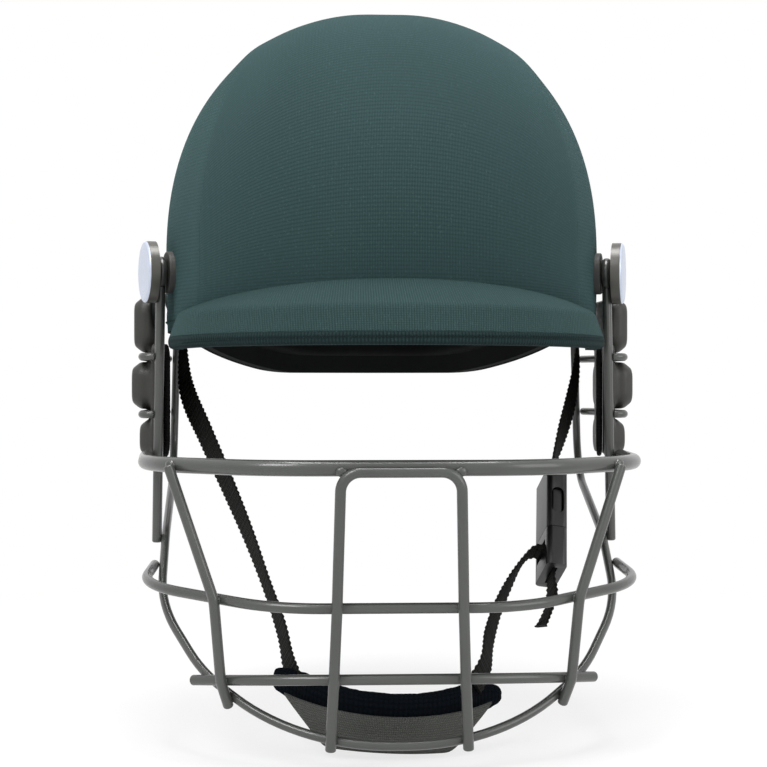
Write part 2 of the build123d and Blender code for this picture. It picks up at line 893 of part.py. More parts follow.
pad_plate_start = upright_foot_half_width + loop_radius + 2 * bar_radius + hardware_gap
pad_plate_end = ear_hoop_half_width - hoop_radius - hardware_gap
plate_middle = (pad_plate_start + pad_plate_end) / 2
core_front = boss_forward - bar_radius - hardware_gap
half_groove = hoop_groove / 2
bulge_levels = [
    (pad_top_drop, upper_hoop_drop - half_groove, pad_top_front, 0),
    (upper_hoop_drop + half_groove, lower_hoop_drop - half_groove, pad_front, 0),
    (lower_hoop_drop + half_groove, pad_bottom_drop, pad_front, hoop_diameter),
]
for name, side in sides.items():
    blocks = [
        side_block(
            side,
            core_inner_half_width,
            pad_plate_start + hardware_gap,
            core_front,
            pad_core_back,
            pad_core_top_drop,
            pad_bottom_drop,
            core_corner,
        ),
        side_block(
            side,
            pad_plate_start,
            pad_plate_end,
            pad_top_front - plate_inset,
            plate_back,
            pad_top_drop + bulge_corner,
            pad_bottom_drop - bulge_corner,
            bulge_corner,
        ),
    ]
    for top_drop, bottom_drop, front, shrink in bulge_levels:
        crest = pad_outer_half_width - shrink
        shoulder_x = crest - bulge_bevel
        outline = (front, pad_back, top_drop, bottom_drop, bulge_corner)
        blocks.append(side_block(side, plate_middle, shoulder_x, *outline))
        blocks.append(side_block(side, shoulder_x, crest, *outline, taper=bulge_taper))
    write(merge(blocks), f"{name}_ear_pad")

    lining = side_block(
        side,
        lining_front_half_width,
        lining_front_half_width + lining_thickness,
        pad_front + lining_overlap,
        lining_back,
        pad_core_top_drop,
        pad_bottom_drop,
        lining_corner,
        lean=lining_lean,
    )
    ear_lining = merge([lining])
    lining_out = Axis((0, 0, 0), (side * cos(radians(lining_lean)), -sin(radians(lining_lean)), 0))
    with ear_lining:
        inner = ear_lining.faces().sort_by(lining_out)[0]
        fillet(inner.edges(), lining_thickness / 3)
    write(ear_lining, f"{name}_ear_lining")


# Strap rivets, each with a washer inside the strap
rivet_start = strap_half_width - webbing_thickness - hardware_gap - rivet_head_height
rivet_end = side_reach(anchor_back, shell_gap)
rivet_pieces = []
for side in sides.values():
    rivet_plane = Plane(origin=(0, anchor_back, level(anchor_drop)), x_dir=(0, 1, 0), z_dir=(side, 0, 0))
    rivet_pieces.append(disc(rivet_plane, rivet_start, rivet_head_height, rivet_head_diameter))
    rivet_pieces.append(disc(rivet_plane, rivet_start, rivet_end - rivet_start, rivet_diameter))
    cap = disc(rivet_plane, rivet_end - 2 * rivet_head_height, 3 * rivet_head_height, rivet_head_diameter)
    rivet_pieces.append(cut(cap, shell_dome).part)
write(merge(rivet_pieces), "strap_rivets")


# Webbing: flat sections along a route, each turned about it
def webbing_section(here, along, turn, width):
    """Flat section of webbing at a point of its route, turned or laid along a direction."""
    level_across = Vector(0, 1, 0) - along * along.Y
    across = turn if isinstance(turn, Vector) else level_across.rotate(Axis((0, 0, 0), tuple(along)), turn)
    with BuildSketch(Plane(origin=here, x_dir=across, z_dir=along)) as section:
        Rectangle(width, webbing_thickness)
    return section.sketch


def webbing(route, turns, width):
    """Band of webbing through the points of its route."""
    sections = []
    for i, here in enumerate(route):
        before = route[max(i - 1, 0)]
        after = route[min(i + 1, len(route) - 1)]
        sections.append(webbing_section(here, (after - before).normalized(), turns[i], width))
    with BuildPart() as band:
        add(sections)
        loft()
    return band


# Chin cup and its lining, turned about an upright line behind the chin
cup_axis_y = cup_radius - cup_forward


def cup_block(section, outline):
    """Ring from a section, trimmed to an outline seen from the front."""
    with BuildPart() as ring:
        add(section)
        revolve(axis=Axis((0, cup_axis_y, 0), (0, 0, -1)), revolution_arc=180)
    with BuildPart() as window:
        add(outline)
        extrude(amount=2 * cup_radius, dir=(0, -1, 0))
    with BuildPart() as trimmed:
        add(ring.part)
        add(window.part, mode=Mode.INTERSECT)
    return trimmed


def cup_section(outer_skin, inner_skin, top):
    """Upright wall that turns under the chin, between two skins set in from the cup."""
    bottom = level(cup_bottom_drop)
    outer = cup_radius - outer_skin
    inner = cup_radius - inner_skin
    under = cup_radius - cup_underside
    with BuildSketch(Plane.XZ.offset(-cup_axis_y)) as wall:
        with BuildLine():
            outside = FilletPolyline(
                (outer, top),
                (outer - cup_thickness, bottom + outer_skin),
                (under, bottom + outer_skin),
                radius=cup_underside / 3,
            )
            inside = FilletPolyline(
                (inner, top),
                (inner - cup_thickness, bottom + inner_skin),
                (under, bottom + inner_skin),
                radius=cup_underside / 4,
            )
            Line(outside @ 0, inside @ 0)
            Line(outside @ 1, inside @ 1)
        make_face()
    return wall.sketch


def cup_outline(half_width_there, top_middle, top_end, bottom_middle):
    """Front outline of the cup: a shallow crescent."""
    tip = half_width_there
    with BuildSketch(Plane.XZ) as outline:
        with BuildLine():
            upper = ThreePointArc((-tip, top_end), (0, top_middle), (tip, top_end))
            lower = ThreePointArc((-tip * cup_foot_share, bottom_middle + cup_end_rise), (0, bottom_middle),
                                  (tip * cup_foot_share, bottom_middle + cup_end_rise))
            Line(upper @ 0, lower @ 0)
            Line(upper @ 1, lower @ 1)
        make_face()
    return outline.sketch


cup_top = level(cup_top_drop)
chin_cup = cup_block(
    cup_section(0, cup_thickness, cup_top + cup_lining_rise),
    cup_outline(cup_half_width, cup_top - cup_end_rise, cup_top, level(cup_bottom_drop) - overrun),
)
write(chin_cup, "chin_cup")
lining_skin = cup_thickness + layer_gap
chin_cup_lining = cup_block(
    cup_section(lining_skin, lining_skin + cup_lining_thickness, cup_top + 2 * cup_lining_rise),
    cup_outline(
        cup_half_width,
        cup_top - cup_end_rise + cup_lining_rise,
        cup_top + cup_lining_rise + cup_lining_end_rise,
        level(cup_bottom_drop) - overrun,
    ),
)
write(chin_cup_lining, "chin_cup_lining")


# Straps, from their rivets down to the two ends of the cup
def cup_side(side, side_angle, drop):
    """Point on the outside of the cup's lining, half the webbing's thickness off it."""
    angle = radians(side_angle)
    reach = cup_radius - lining_skin + hardware_gap + webbing_thickness / 2
    return Vector(side * reach * sin(angle), cup_axis_y - reach * cos(angle), level(drop))


def along_route(start, end, shares):
    """Points between two ends, each a share of the way sideways, forwards and down."""
    return [
        Vector(
            start.X + (end.X - start.X) * across,
            start.Y + (end.Y - start.Y) * forward,
            start.Z + (end.Z - start.Z) * down,
        )
        for across, forward, down in shares
    ]


def strap(route, turns, side):
    """Webbing that starts at the rivet on one side, with the rivet's hole."""
    hole_plane = Plane(origin=(0, anchor_back, level(anchor_drop)), x_dir=(0, 1, 0), z_dir=(side, 0, 0))
    hole = disc(hole_plane, 0, half_width, rivet_diameter + 2 * screw_clearance)
    return cut(webbing(route, turns, webbing_width).part, hole)


left_anchor = Vector(-strap_centre, anchor_back, level(anchor_drop) + anchor_tail)
left_lead = cup_side(-1, left_end_angle + strap_lead_angle, strap_end_drop - strap_lead)
left_end = cup_side(-1, left_end_angle, strap_end_drop)
left_route_shares = [
    (0.0, 0.0, 0.0),
    (0.0, 0.0, 0.05),
    (0.0, 0.0, 0.1),
    (0.05, 0.14, 0.26),
    (0.26, 0.32, 0.4),
    (0.48, 0.47, 0.54),
    (0.69, 0.62, 0.68),
    (0.86, 0.76, 0.81),
    (0.97, 0.9, 0.92),
    (1.0, 1.0, 1.0),
]
left_turns = [0, 0, 0, -16, -32, -33, -26, -20, -20, -25, -33]
left_route = along_route(left_anchor, left_lead, left_route_shares) + [left_end]
write(strap(left_route, left_turns, -1), "left_strap")

# Buckle frame: local Z down the strap, local X across its width
buckle_top = Vector(buckle_top_half_width, -buckle_top_forward, level(buckle_top_drop))
buckle_foot = Vector(buckle_foot_half_width, -buckle_foot_forward, level(buckle_foot_drop))
buckle_axis = (buckle_foot - buckle_top).normalized()
buckle_across = (Vector(0, 1, 0) - buckle_axis * buckle_axis.Y).normalized()
buckle_across = buckle_across.rotate(Axis((0, 0, 0), tuple(buckle_axis)), -buckle_turn)
buckle_plane = Plane(origin=buckle_top, x_dir=buckle_across, z_dir=buckle_axis)


def buckle_block(start, length, width, thickness, corner, offset=0.0):
    """Rounded block in the buckle's frame, from start down its length."""
    with BuildPart() as block:
        with BuildSketch(buckle_plane.offset(start)):
            with Locations((offset, 0)):
                RectangleRounded(width, thickness, corner)
        extrude(amount=length)
    return block.part


def buckle_side_slot(middle, length, height, reach):
    """Long hole through both narrow sides of the buckle."""
    side_face = Plane(origin=buckle_top + buckle_axis * middle, x_dir=buckle_axis, z_dir=buckle_across)
    with BuildPart() as slot:
        with BuildSketch(side_face):
            SlotOverall(length, height)
        extrude(amount=reach, both=True)
    return slot.part


webbing_gap = webbing_thickness + 2 * hardware_gap
webbing_room = webbing_width + 2 * hardware_gap
cavity_width = buckle_width - 2 * buckle_wall
cavity_height = buckle_thickness - 2 * buckle_wall
relief_width = buckle_width - buckle_wall
window_middle = socket_length * window_share
socket_body = buckle_block(0, socket_length, buckle_width, buckle_thickness, buckle_corner)
socket_cuts = [
    buckle_block(cavity_start, socket_length, cavity_width, cavity_height, buckle_wall / 2),
    buckle_block(cavity_start, socket_length, relief_width, window_height, buckle_wall / 4),
    buckle_side_slot(window_middle, window_length, window_height, buckle_width),
    buckle_block(-overrun, strap_seat_depth + overrun, webbing_room, webbing_gap, hardware_gap),
]
write(cut(socket_body, socket_cuts), "buckle_socket")

plug_start = socket_length + layer_gap
arm_offset = relief_width / 2 - latch_gap - latch_width / 2
arm_reach = plug_start - cavity_start - overrun
strap_slot_middle = plug_start + plug_length * strap_slot_share
foot_slot_start = plug_start + plug_length - strap_seat_depth
slot_frame_plane = Plane(
    origin=buckle_top + buckle_axis * strap_slot_middle,
    x_dir=buckle_across,
    z_dir=buckle_axis.cross(buckle_across),
)
with BuildPart() as strap_slot:
    with BuildSketch(slot_frame_plane):
        RectangleRounded(webbing_room, strap_slot_height, webbing_thickness / 2)
    extrude(amount=buckle_thickness, both=True)
plug_pieces = [
    buckle_block(plug_start, plug_length, buckle_width, buckle_thickness, buckle_corner),
    buckle_block(
        plug_start - tongue_length,
        tongue_length + overrun,
        tongue_width,
        latch_thickness,
        buckle_wall / 2,
    ),
]
for side in sides.values():
    arm_start = plug_start - arm_reach
    arm_length = arm_reach + overrun
    plug_pieces.append(
        buckle_block(arm_start, arm_length, latch_width, latch_thickness, buckle_wall / 2, side * arm_offset)
    )
plug_cuts = [
    strap_slot.part,
    buckle_block(foot_slot_start, strap_seat_depth + overrun, webbing_room, webbing_gap, hardware_gap),
]
write(cut(plug_pieces, plug_cuts), "buckle_plug")

# Right straps: anchor to buckle, buckle to cup, and the loose tail
right_anchor = Vector(strap_centre, anchor_back, level(anchor_drop) + anchor_tail)
socket_seat = buckle_top + buckle_axis * (strap_seat_depth - hardware_gap)
socket_lead = buckle_top - buckle_axis * strap_seat_depth
upper_route_shares = [
    (0.0, 0.0, 0.0),
    (0.0, 0.0, 0.15),
    (0.01, 0.13, 0.3),
    (0.12, 0.3, 0.46),
    (0.36, 0.52, 0.64),
    (0.68, 0.76, 0.82),
    (1.0, 1.0, 1.0),
]
upper_turns = [0, 0, 6, 12, 14, 8, -buckle_turn, -buckle_turn, -buckle_turn]
upper_route = along_route(right_anchor, socket_lead, upper_route_shares) + [buckle_top, socket_seat]
write(strap(upper_route, upper_turns, 1), "right_upper_strap")

inboard = -buckle_plane.y_dir if buckle_plane.y_dir.X > 0 else buckle_plane.y_dir
lower_start = buckle_top + buckle_axis * strap_slot_middle
slot_exit = lower_start + inboard * (buckle_thickness / 2 + 2 * webbing_thickness)
right_lead = cup_side(1, right_end_angle + strap_lead_angle, strap_end_drop - strap_lead)
right_end = cup_side(1, right_end_angle, strap_end_drop)
lower_route_shares = [
    (0.0, 0.0, 0.0),
    (0.2, 0.08, 0.08),
    (0.45, 0.24, 0.28),
    (0.7, 0.46, 0.52),
    (0.9, 0.74, 0.78),
    (1.0, 1.0, 1.0),
]
lower_turns = [buckle_across, buckle_across, 14, 22, 27, 30, 34, 43]
lower_route = [lower_start] + along_route(slot_exit, right_lead, lower_route_shares) + [right_end]
write(webbing(lower_route, lower_turns, webbing_width), "right_lower_strap")

tail_seat = buckle_top + buckle_axis * (foot_slot_start + hardware_gap)
tail_knee = buckle_foot + buckle_axis * tail_length * tail_knee_share
tail_end = Vector(tail_end_half_width, -tail_end_forward, level(tail_end_drop))
tail_route = [tail_seat, tail_seat + (tail_knee - tail_seat) * tail_knee_share, tail_knee, tail_end]
tail_turns = [-buckle_turn, -buckle_turn, tail_turn / 2, tail_turn]
write(webbing(tail_route, tail_turns, webbing_width), "strap_tail")
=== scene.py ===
# %% [markdown]
# # A cloth-covered batting helmet
# The real thing is a moulded shell in a tight knitted cover, with a peak in the
# same cloth, a welded wire guard on two side bosses, rubber ear guards and a
# webbing chin strap. The solids arrive packed, and this notebook dresses them:
# rigid parts keep their solids and get finishes, and soft parts get new meshes.

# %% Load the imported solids
import math

import bmesh
import bpy
import numpy as np
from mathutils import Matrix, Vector, noise


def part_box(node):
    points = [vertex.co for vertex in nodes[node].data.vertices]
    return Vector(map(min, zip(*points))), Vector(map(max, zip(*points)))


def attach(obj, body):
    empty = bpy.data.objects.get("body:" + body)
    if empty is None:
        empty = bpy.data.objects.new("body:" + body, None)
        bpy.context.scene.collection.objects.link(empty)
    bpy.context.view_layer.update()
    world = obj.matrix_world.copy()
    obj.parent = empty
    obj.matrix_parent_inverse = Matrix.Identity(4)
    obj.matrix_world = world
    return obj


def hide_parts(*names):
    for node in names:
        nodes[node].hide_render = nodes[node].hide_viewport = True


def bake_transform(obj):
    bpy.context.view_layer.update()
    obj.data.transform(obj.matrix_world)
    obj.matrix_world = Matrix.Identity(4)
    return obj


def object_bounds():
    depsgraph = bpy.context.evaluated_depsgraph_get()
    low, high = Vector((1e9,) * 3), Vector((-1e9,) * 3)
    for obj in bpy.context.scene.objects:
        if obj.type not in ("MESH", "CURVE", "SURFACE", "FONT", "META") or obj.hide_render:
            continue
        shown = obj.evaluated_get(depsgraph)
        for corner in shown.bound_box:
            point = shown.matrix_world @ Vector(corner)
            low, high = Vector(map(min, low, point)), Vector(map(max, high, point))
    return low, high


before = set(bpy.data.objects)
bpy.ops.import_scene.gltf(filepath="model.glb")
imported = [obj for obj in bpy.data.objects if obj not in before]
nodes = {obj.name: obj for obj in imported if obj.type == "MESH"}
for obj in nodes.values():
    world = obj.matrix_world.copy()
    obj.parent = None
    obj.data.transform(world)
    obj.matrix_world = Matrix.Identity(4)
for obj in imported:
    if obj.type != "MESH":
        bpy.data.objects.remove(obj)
solid_low, solid_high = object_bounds()
print("solids", len(nodes), "box", tuple(solid_low), tuple(solid_high))

MM = 0.001

# %% [markdown]
# ## Camera
# The photograph looks straight at the front from about 0.87 m, level, at the
# height of the eyes, and a little from the wearer's right.

# %% Camera
SENSOR = 36.0
IMAGE_WIDTH = 767
FOCAL_PIXELS = 1824
YAW = math.radians(3.12)
EYE = (-0.04615, -0.8687, -0.14995)

camera_data = bpy.data.cameras.new("camera")
camera_data.sensor_width = SENSOR
camera_data.lens = SENSOR * FOCAL_PIXELS / IMAGE_WIDTH
camera = bpy.data.objects.new("camera", camera_data)
camera.location = EYE
camera.rotation_euler = (math.pi / 2, 0, -YAW)
bpy.context.scene.collection.objects.link(camera)
bpy.context.scene.camera = camera
print("camera lens", round(camera_data.lens, 1), "mm")

# %% [markdown]
# ## Studio
# A pale floor and a white world, which only the camera and reflections see as
# white. Soft lamps from above and both sides keep colours at their own level.

# %% Lamps and world
LIGHT_LEVEL = 0.48


def lamp(name, place, target, size, watts):
    """Soft square lamp that faces a point."""
    data = bpy.data.lights.new(name, "AREA")
    data.size = size
    data.energy = watts
    light = bpy.data.objects.new(name, data)
    light.location = place
    light.rotation_euler = (Vector(target) - Vector(place)).to_track_quat("-Z", "Y").to_euler()
    bpy.context.scene.collection.objects.link(light)
    print(name, "lamp", watts, "W")


centre = (0, -0.02, -0.13)
lamp("key", (-0.7, -0.95, 0.95), centre, 0.6, 12)
lamp("fill", (1.1, -0.9, 0.35), centre, 0.9, 6)
lamp("top", (0.0, -0.1, 1.3), centre, 0.7, 19)

world = bpy.data.worlds.new("studio")
bpy.context.scene.world = world
world.use_nodes = True
tree = world.node_tree
tree.nodes.clear()
world_out = tree.nodes.new("ShaderNodeOutputWorld")
seen = tree.nodes.new("ShaderNodeBackground")
seen.inputs["Color"].default_value = (1, 1, 1, 1)
lighting = tree.nodes.new("ShaderNodeBackground")
lighting.inputs["Color"].default_value = (1, 1, 1, 1)
lighting.inputs["Strength"].default_value = LIGHT_LEVEL
path = tree.nodes.new("ShaderNodeLightPath")


def sees_white(tree, path):
    """1 for rays that should meet the white background."""
    total = path.outputs["Is Camera Ray"]
    for ray in ("Is Glossy Ray", "Is Transmission Ray"):
        highest = tree.nodes.new("ShaderNodeMath")
        highest.operation = "MAXIMUM"
        tree.links.new(total, highest.inputs[0])
        tree.links.new(path.outputs[ray], highest.inputs[1])
        total = highest.outputs[0]
    return total


mix = tree.nodes.new("ShaderNodeMixShader")
tree.links.new(sees_white(tree, path), mix.inputs[0])
tree.links.new(lighting.outputs[0], mix.inputs[1])
tree.links.new(seen.outputs[0], mix.inputs[2])
tree.links.new(mix.outputs[0], world_out.inputs[0])
bpy.context.scene.view_settings.view_transform = "Standard"

# %% [markdown]
# ## Small helpers for nodes
# Every finish is a Principled shader with procedural detail. Effects that more
# than one finish uses are node groups with named inputs.

# %% Node helpers
def new_group(name, inputs, outputs):
    """Empty shader group with named sockets."""
    group = bpy.data.node_groups.new(name, "ShaderNodeTree")
    for label, kind, value in inputs:
        socket = group.interface.new_socket(label, in_out="INPUT", socket_type=kind)
        socket.default_value = value
    for label, kind in outputs:
        group.interface.new_socket(label, in_out="OUTPUT", socket_type=kind)
    return group, group.nodes.new("NodeGroupInput"), group.nodes.new("NodeGroupOutput")


def math_node(tree, operation, first, second=None):
    """Math node on two values or links."""
    node = tree.nodes.new("ShaderNodeMath")
    node.operation = operation
    for socket, value in zip(node.inputs, (first, second)):
        if value is None:
            continue
        if isinstance(value, (int, float)):
            socket.default_value = value
        else:
            tree.links.new(value, socket)
    return node.outputs[0]


def mix_color(tree, factor, first, second):
    """Blend of two colours by a factor."""
    node = tree.nodes.new("ShaderNodeMix")
    node.data_type = "RGBA"
    for socket, value in ((node.inputs[0], factor), (node.inputs[6], first), (node.inputs[7], second)):
        if isinstance(value, (int, float)):
            socket.default_value = value
        elif isinstance(value, tuple):
            socket.default_value = (*value, 1)
        else:
            tree.links.new(value, socket)
    return node.outputs[2]


def vector_math(tree, operation, link, fixed=None):
    """Vector math node on a link and, where given, a fixed vector."""
    node = tree.nodes.new("ShaderNodeVectorMath")
    node.operation = operation
    tree.links.new(link, node.inputs[0])
    if fixed:
        node.inputs[1].default_value = fixed
    return node


def wave(tree, value):
    """Rounded wave with one hump per unit."""
    turned = math_node(tree, "MULTIPLY", value, math.pi)
    return math_node(tree, "ABSOLUTE", math_node(tree, "SINE", turned))


def new_material(name):
    """Material, its node tree and its shader."""
    material = bpy.data.materials.new(name)
    material.use_nodes = True
    return material, material.node_tree, material.node_tree.nodes["Principled BSDF"]


def relief(tree, shader, height, strength, distance):
    """Bump that raises the surface by a height."""
    node = tree.nodes.new("ShaderNodeBump")
    node.inputs["Strength"].default_value = strength
    node.inputs["Distance"].default_value = distance
    tree.links.new(height, node.inputs["Height"])
    tree.links.new(node.outputs[0], shader.inputs["Normal"])


# %% [markdown]
# ### Ribs
# Knitted cloth, webbing and the hem all have parallel ribs crossed by finer
# stitches. One group makes both from any pair of surface coordinates in metres.
# Its second output marks the hollows between ribs and stitches, where the cloth
# finishes paint in shade.

# %% Rib group
ribs, rib_in, rib_out = new_group(
    "fabric_ribs",
    [
        ("Vector", "NodeSocketVector", (0, 0, 0)),
        ("Ribs per metre", "NodeSocketFloat", 900.0),
        ("Stitches per metre", "NodeSocketFloat", 700.0),
        ("Stitch depth", "NodeSocketFloat", 0.4),
        ("Wander", "NodeSocketFloat", 0.3),
    ],
    [("Height", "NodeSocketFloat"), ("Gap shade", "NodeSocketFloat")],
)
split = ribs.nodes.new("ShaderNodeSeparateXYZ")
ribs.links.new(rib_in.outputs["Vector"], split.inputs[0])
wobble = ribs.nodes.new("ShaderNodeTexNoise")
wobble.inputs["Scale"].default_value = 60
ribs.links.new(rib_in.outputs["Vector"], wobble.inputs["Vector"])
shift = math_node(ribs, "MULTIPLY", wobble.outputs["Fac"], rib_in.outputs["Wander"])
across = math_node(ribs, "MULTIPLY", split.outputs["X"], rib_in.outputs["Ribs per metre"])
across = math_node(ribs, "ADD", across, shift)
along = math_node(ribs, "MULTIPLY", split.outputs["Y"], rib_in.outputs["Stitches per metre"])
rib_wave = wave(ribs, across)
stitch_wave = wave(ribs, along)
stitch_part = math_node(ribs, "MULTIPLY", stitch_wave, rib_in.outputs["Stitch depth"])
height = math_node(ribs, "ADD", rib_wave, stitch_part)
ribs.links.new(height, rib_out.inputs["Height"])
# Painted shade mask: 1 in the hollows between ribs and stitches, falling to 0 on their tops.
gap = math_node(ribs, "SUBTRACT", 1.0, math_node(ribs, "MULTIPLY", rib_wave, stitch_wave))
ribs.links.new(gap, rib_out.inputs["Gap shade"])
print(ribs.name, len(ribs.nodes), "nodes")

# %% [markdown]
# ### Mottle
# Nothing real has one even tone. This group gives slow patches and fine grain
# that each finish mixes in at its own strength.

# %% Mottle group
mottle, mottle_in, mottle_out = new_group(
    "mottle",
    [
        ("Vector", "NodeSocketVector", (0, 0, 0)),
        ("Patch scale", "NodeSocketFloat", 25.0),
        ("Grain scale", "NodeSocketFloat", 900.0),
    ],
    [("Patches", "NodeSocketFloat"), ("Grain", "NodeSocketFloat")],
)
for label, scale_name in (("Patches", "Patch scale"), ("Grain", "Grain scale")):
    texture = mottle.nodes.new("ShaderNodeTexNoise")
    texture.inputs["Detail"].default_value = 4
    mottle.links.new(mottle_in.outputs["Vector"], texture.inputs["Vector"])
    mottle.links.new(mottle_in.outputs[scale_name], texture.inputs["Scale"])
    mottle.links.new(texture.outputs["Fac"], mottle_out.inputs[label])
print(mottle.name, len(mottle.nodes), "nodes")


def place_group(tree, group, vector, **values):
    """A group in a material, with its own values."""
    node = tree.nodes.new("ShaderNodeGroup")
    node.node_tree = group
    tree.links.new(vector, node.inputs["Vector"])
    for label, value in values.items():
        node.inputs[label.replace("_", " ")].default_value = value
    return node


# %% [markdown]
# ## Cloth finishes
# The cover is a fine ribbed knit in two close greens. The darker green is painted
# in as shade between the ribs, and a soft sheen lifts its edges. Webbing and fleece
# use the same recipe with other sizes.

# %% Cloth materials
def cloth(name, light, dark, ribs_per_m, stitches_per_m, bump, roughness=0.85, sheen=0.05, stitch=0.4,
          gloss=0.06):
    """Cloth whose ribs follow the piece's own UV map, laid out in metres."""
    material, tree, shader = new_material(name)
    uv = tree.nodes.new("ShaderNodeUVMap")
    uv.uv_map = "cloth"
    place = tree.nodes.new("ShaderNodeTexCoord").outputs["Object"]
    weave = place_group(tree, ribs, uv.outputs[0], Ribs_per_metre=ribs_per_m,
                        Stitches_per_metre=stitches_per_m, Stitch_depth=stitch)
    tone = place_group(tree, mottle, place, Patch_scale=18.0, Grain_scale=1400.0)
    # Painted shade: the darker colour fills the hollows between the ribs.
    painted_gap_shade = math_node(tree, "MULTIPLY", weave.outputs["Gap shade"], 0.75)
    base = mix_color(tree, painted_gap_shade, light, dark)
    patch = math_node(tree, "MULTIPLY", tone.outputs["Patches"], 0.35)
    base = mix_color(tree, patch, base, tuple(c * 0.72 for c in dark))
    fleck = math_node(tree, "GREATER_THAN", tone.outputs["Grain"], 0.64)
    fleck = math_node(tree, "MULTIPLY", fleck, 0.3)
    base = mix_color(tree, fleck, base, tuple(min(1.0, c * 1.8) for c in light))
    tree.links.new(base, shader.inputs["Base Color"])
    shader.inputs["Roughness"].default_value = roughness
    shader.inputs["Specular IOR Level"].default_value = gloss
    shader.inputs["Sheen Weight"].default_value = sheen
    shader.inputs["Sheen Tint"].default_value = (*(min(1.0, c * 6) for c in light), 1)
    shader.inputs["Sheen Roughness"].default_value = 0.45
    pile = math_node(tree, "MULTIPLY", tone.outputs["Grain"], 0.6)
    relief(tree, shader, math_node(tree, "ADD", weave.outputs["Height"], pile), bump, 0.3 * MM)
    print("cloth", name)
    return material


cover_cloth = cloth("cover_cloth", (0.038, 0.071, 0.073), (0.020, 0.040, 0.041), 1500, 620, 0.5, sheen=0.16)
peak_cloth = cloth("peak_cloth", (0.039, 0.073, 0.073), (0.015, 0.030, 0.031), 640, 1300, 0.8, sheen=0.1,
                   stitch=0.2)
hem_cloth = cloth("hem_cloth", (0.021, 0.039, 0.040), (0.005, 0.010, 0.011), 620, 500, 0.8)
binding_cloth = cloth("binding_cloth", (0.008, 0.010, 0.010), (0.004, 0.005, 0.005), 700, 500, 0.8)
webbing_cloth = cloth("webbing_cloth", (0.012, 0.012, 0.010), (0.004, 0.004, 0.004), 600, 900, 0.7, 0.75,
                      0.03, 0.8, gloss=0.14)
lining_cloth = cloth("lining_cloth", (0.012, 0.012, 0.012), (0.006, 0.006, 0.006), 700, 700, 0.6, 0.95, 0.05,
                     1.0)
fleece_cloth = cloth("fleece_cloth", (0.005, 0.007, 0.010), (0.002, 0.003, 0.005), 500, 500, 0.9, 1.0, 0.12,
                     1.0)
cup_cloth = cloth("cup_cloth", (0.125, 0.128, 0.118), (0.066, 0.068, 0.062), 800, 800, 0.8, 0.9, 0.05, 1.0)
pad_cloth = cloth("pad_cloth", (0.022, 0.022, 0.024), (0.010, 0.010, 0.011), 650, 650, 0.6, 0.95, 0.1, 1.0)


# %% [markdown]
# ## Hard finishes
# Painted wire, moulded rubber, plastics and plain steel read the solid's own
# object coordinates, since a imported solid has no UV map.

# %% Hard materials
def hard(name, light, dark, roughness, grain_scale, bump, metallic=0.0, spread=0.15, coat=0.0, gloss=0.5):
    """Even finish with patches of tone, uneven gloss and fine relief."""
    material, tree, shader = new_material(name)
    place = tree.nodes.new("ShaderNodeTexCoord").outputs["Object"]
    tone = place_group(tree, mottle, place, Patch_scale=30.0, Grain_scale=grain_scale)
    base = mix_color(tree, tone.outputs["Patches"], light, dark)
    tree.links.new(base, shader.inputs["Base Color"])
    uneven = math_node(tree, "MULTIPLY", tone.outputs["Patches"], spread)
    tree.links.new(math_node(tree, "ADD", uneven, roughness), shader.inputs["Roughness"])
    shader.inputs["Metallic"].default_value = metallic
    shader.inputs["Coat Weight"].default_value = coat
    shader.inputs["Specular IOR Level"].default_value = gloss
    relief(tree, shader, tone.outputs["Grain"], bump, 0.2 * MM)
    print("finish", name)
    return material


wire_paint = hard("wire_paint", (0.066, 0.070, 0.064), (0.038, 0.041, 0.037), 0.26, 1500.0, 0.3, 0.0, 0.12,
                  coat=0.35)
pad_rubber = hard("pad_rubber", (0.031, 0.030, 0.025), (0.014, 0.0135, 0.011), 0.38, 2200.0, 0.5)
boss_plastic = hard("boss_plastic", (0.050, 0.050, 0.047), (0.028, 0.028, 0.026), 0.5, 1800.0, 0.7)
buckle_plastic = hard("buckle_plastic", (0.010, 0.010, 0.010), (0.006, 0.006, 0.006), 0.28, 1600.0, 0.15)
shell_plastic = hard("shell_plastic", (0.012, 0.013, 0.013), (0.007, 0.008, 0.008), 0.8, 1200.0, 0.3,
                     gloss=0.12)
liner_foam = hard("liner_foam", (0.009, 0.010, 0.010), (0.005, 0.005, 0.006), 0.85, 700.0, 1.0, gloss=0.1)
bush_plastic = hard("bush_plastic", (0.020, 0.020, 0.020), (0.012, 0.012, 0.012), 0.5, 1200.0, 0.3)
plain_steel = hard("plain_steel", (0.50, 0.51, 0.53), (0.38, 0.39, 0.41), 0.28, 1800.0, 0.2, 1.0)

# %% [markdown]
# The cap's face is turned metal: fine rings round its centre. A noise that reads
# only the distance from the axis gives rings that meet all round. Its wall is
# darker, with a thin bright corner where the face ends.

# %% Turned cap metal
PIVOT_X, PIVOT_Y, PIVOT_Z = 97.64 * MM, -35.0 * MM, -99.45 * MM
OUT_X, OUT_Y = 0.966, -0.259
CAP_FACE, FACE_EDGE = 12.55 * MM, 1.0 * MM


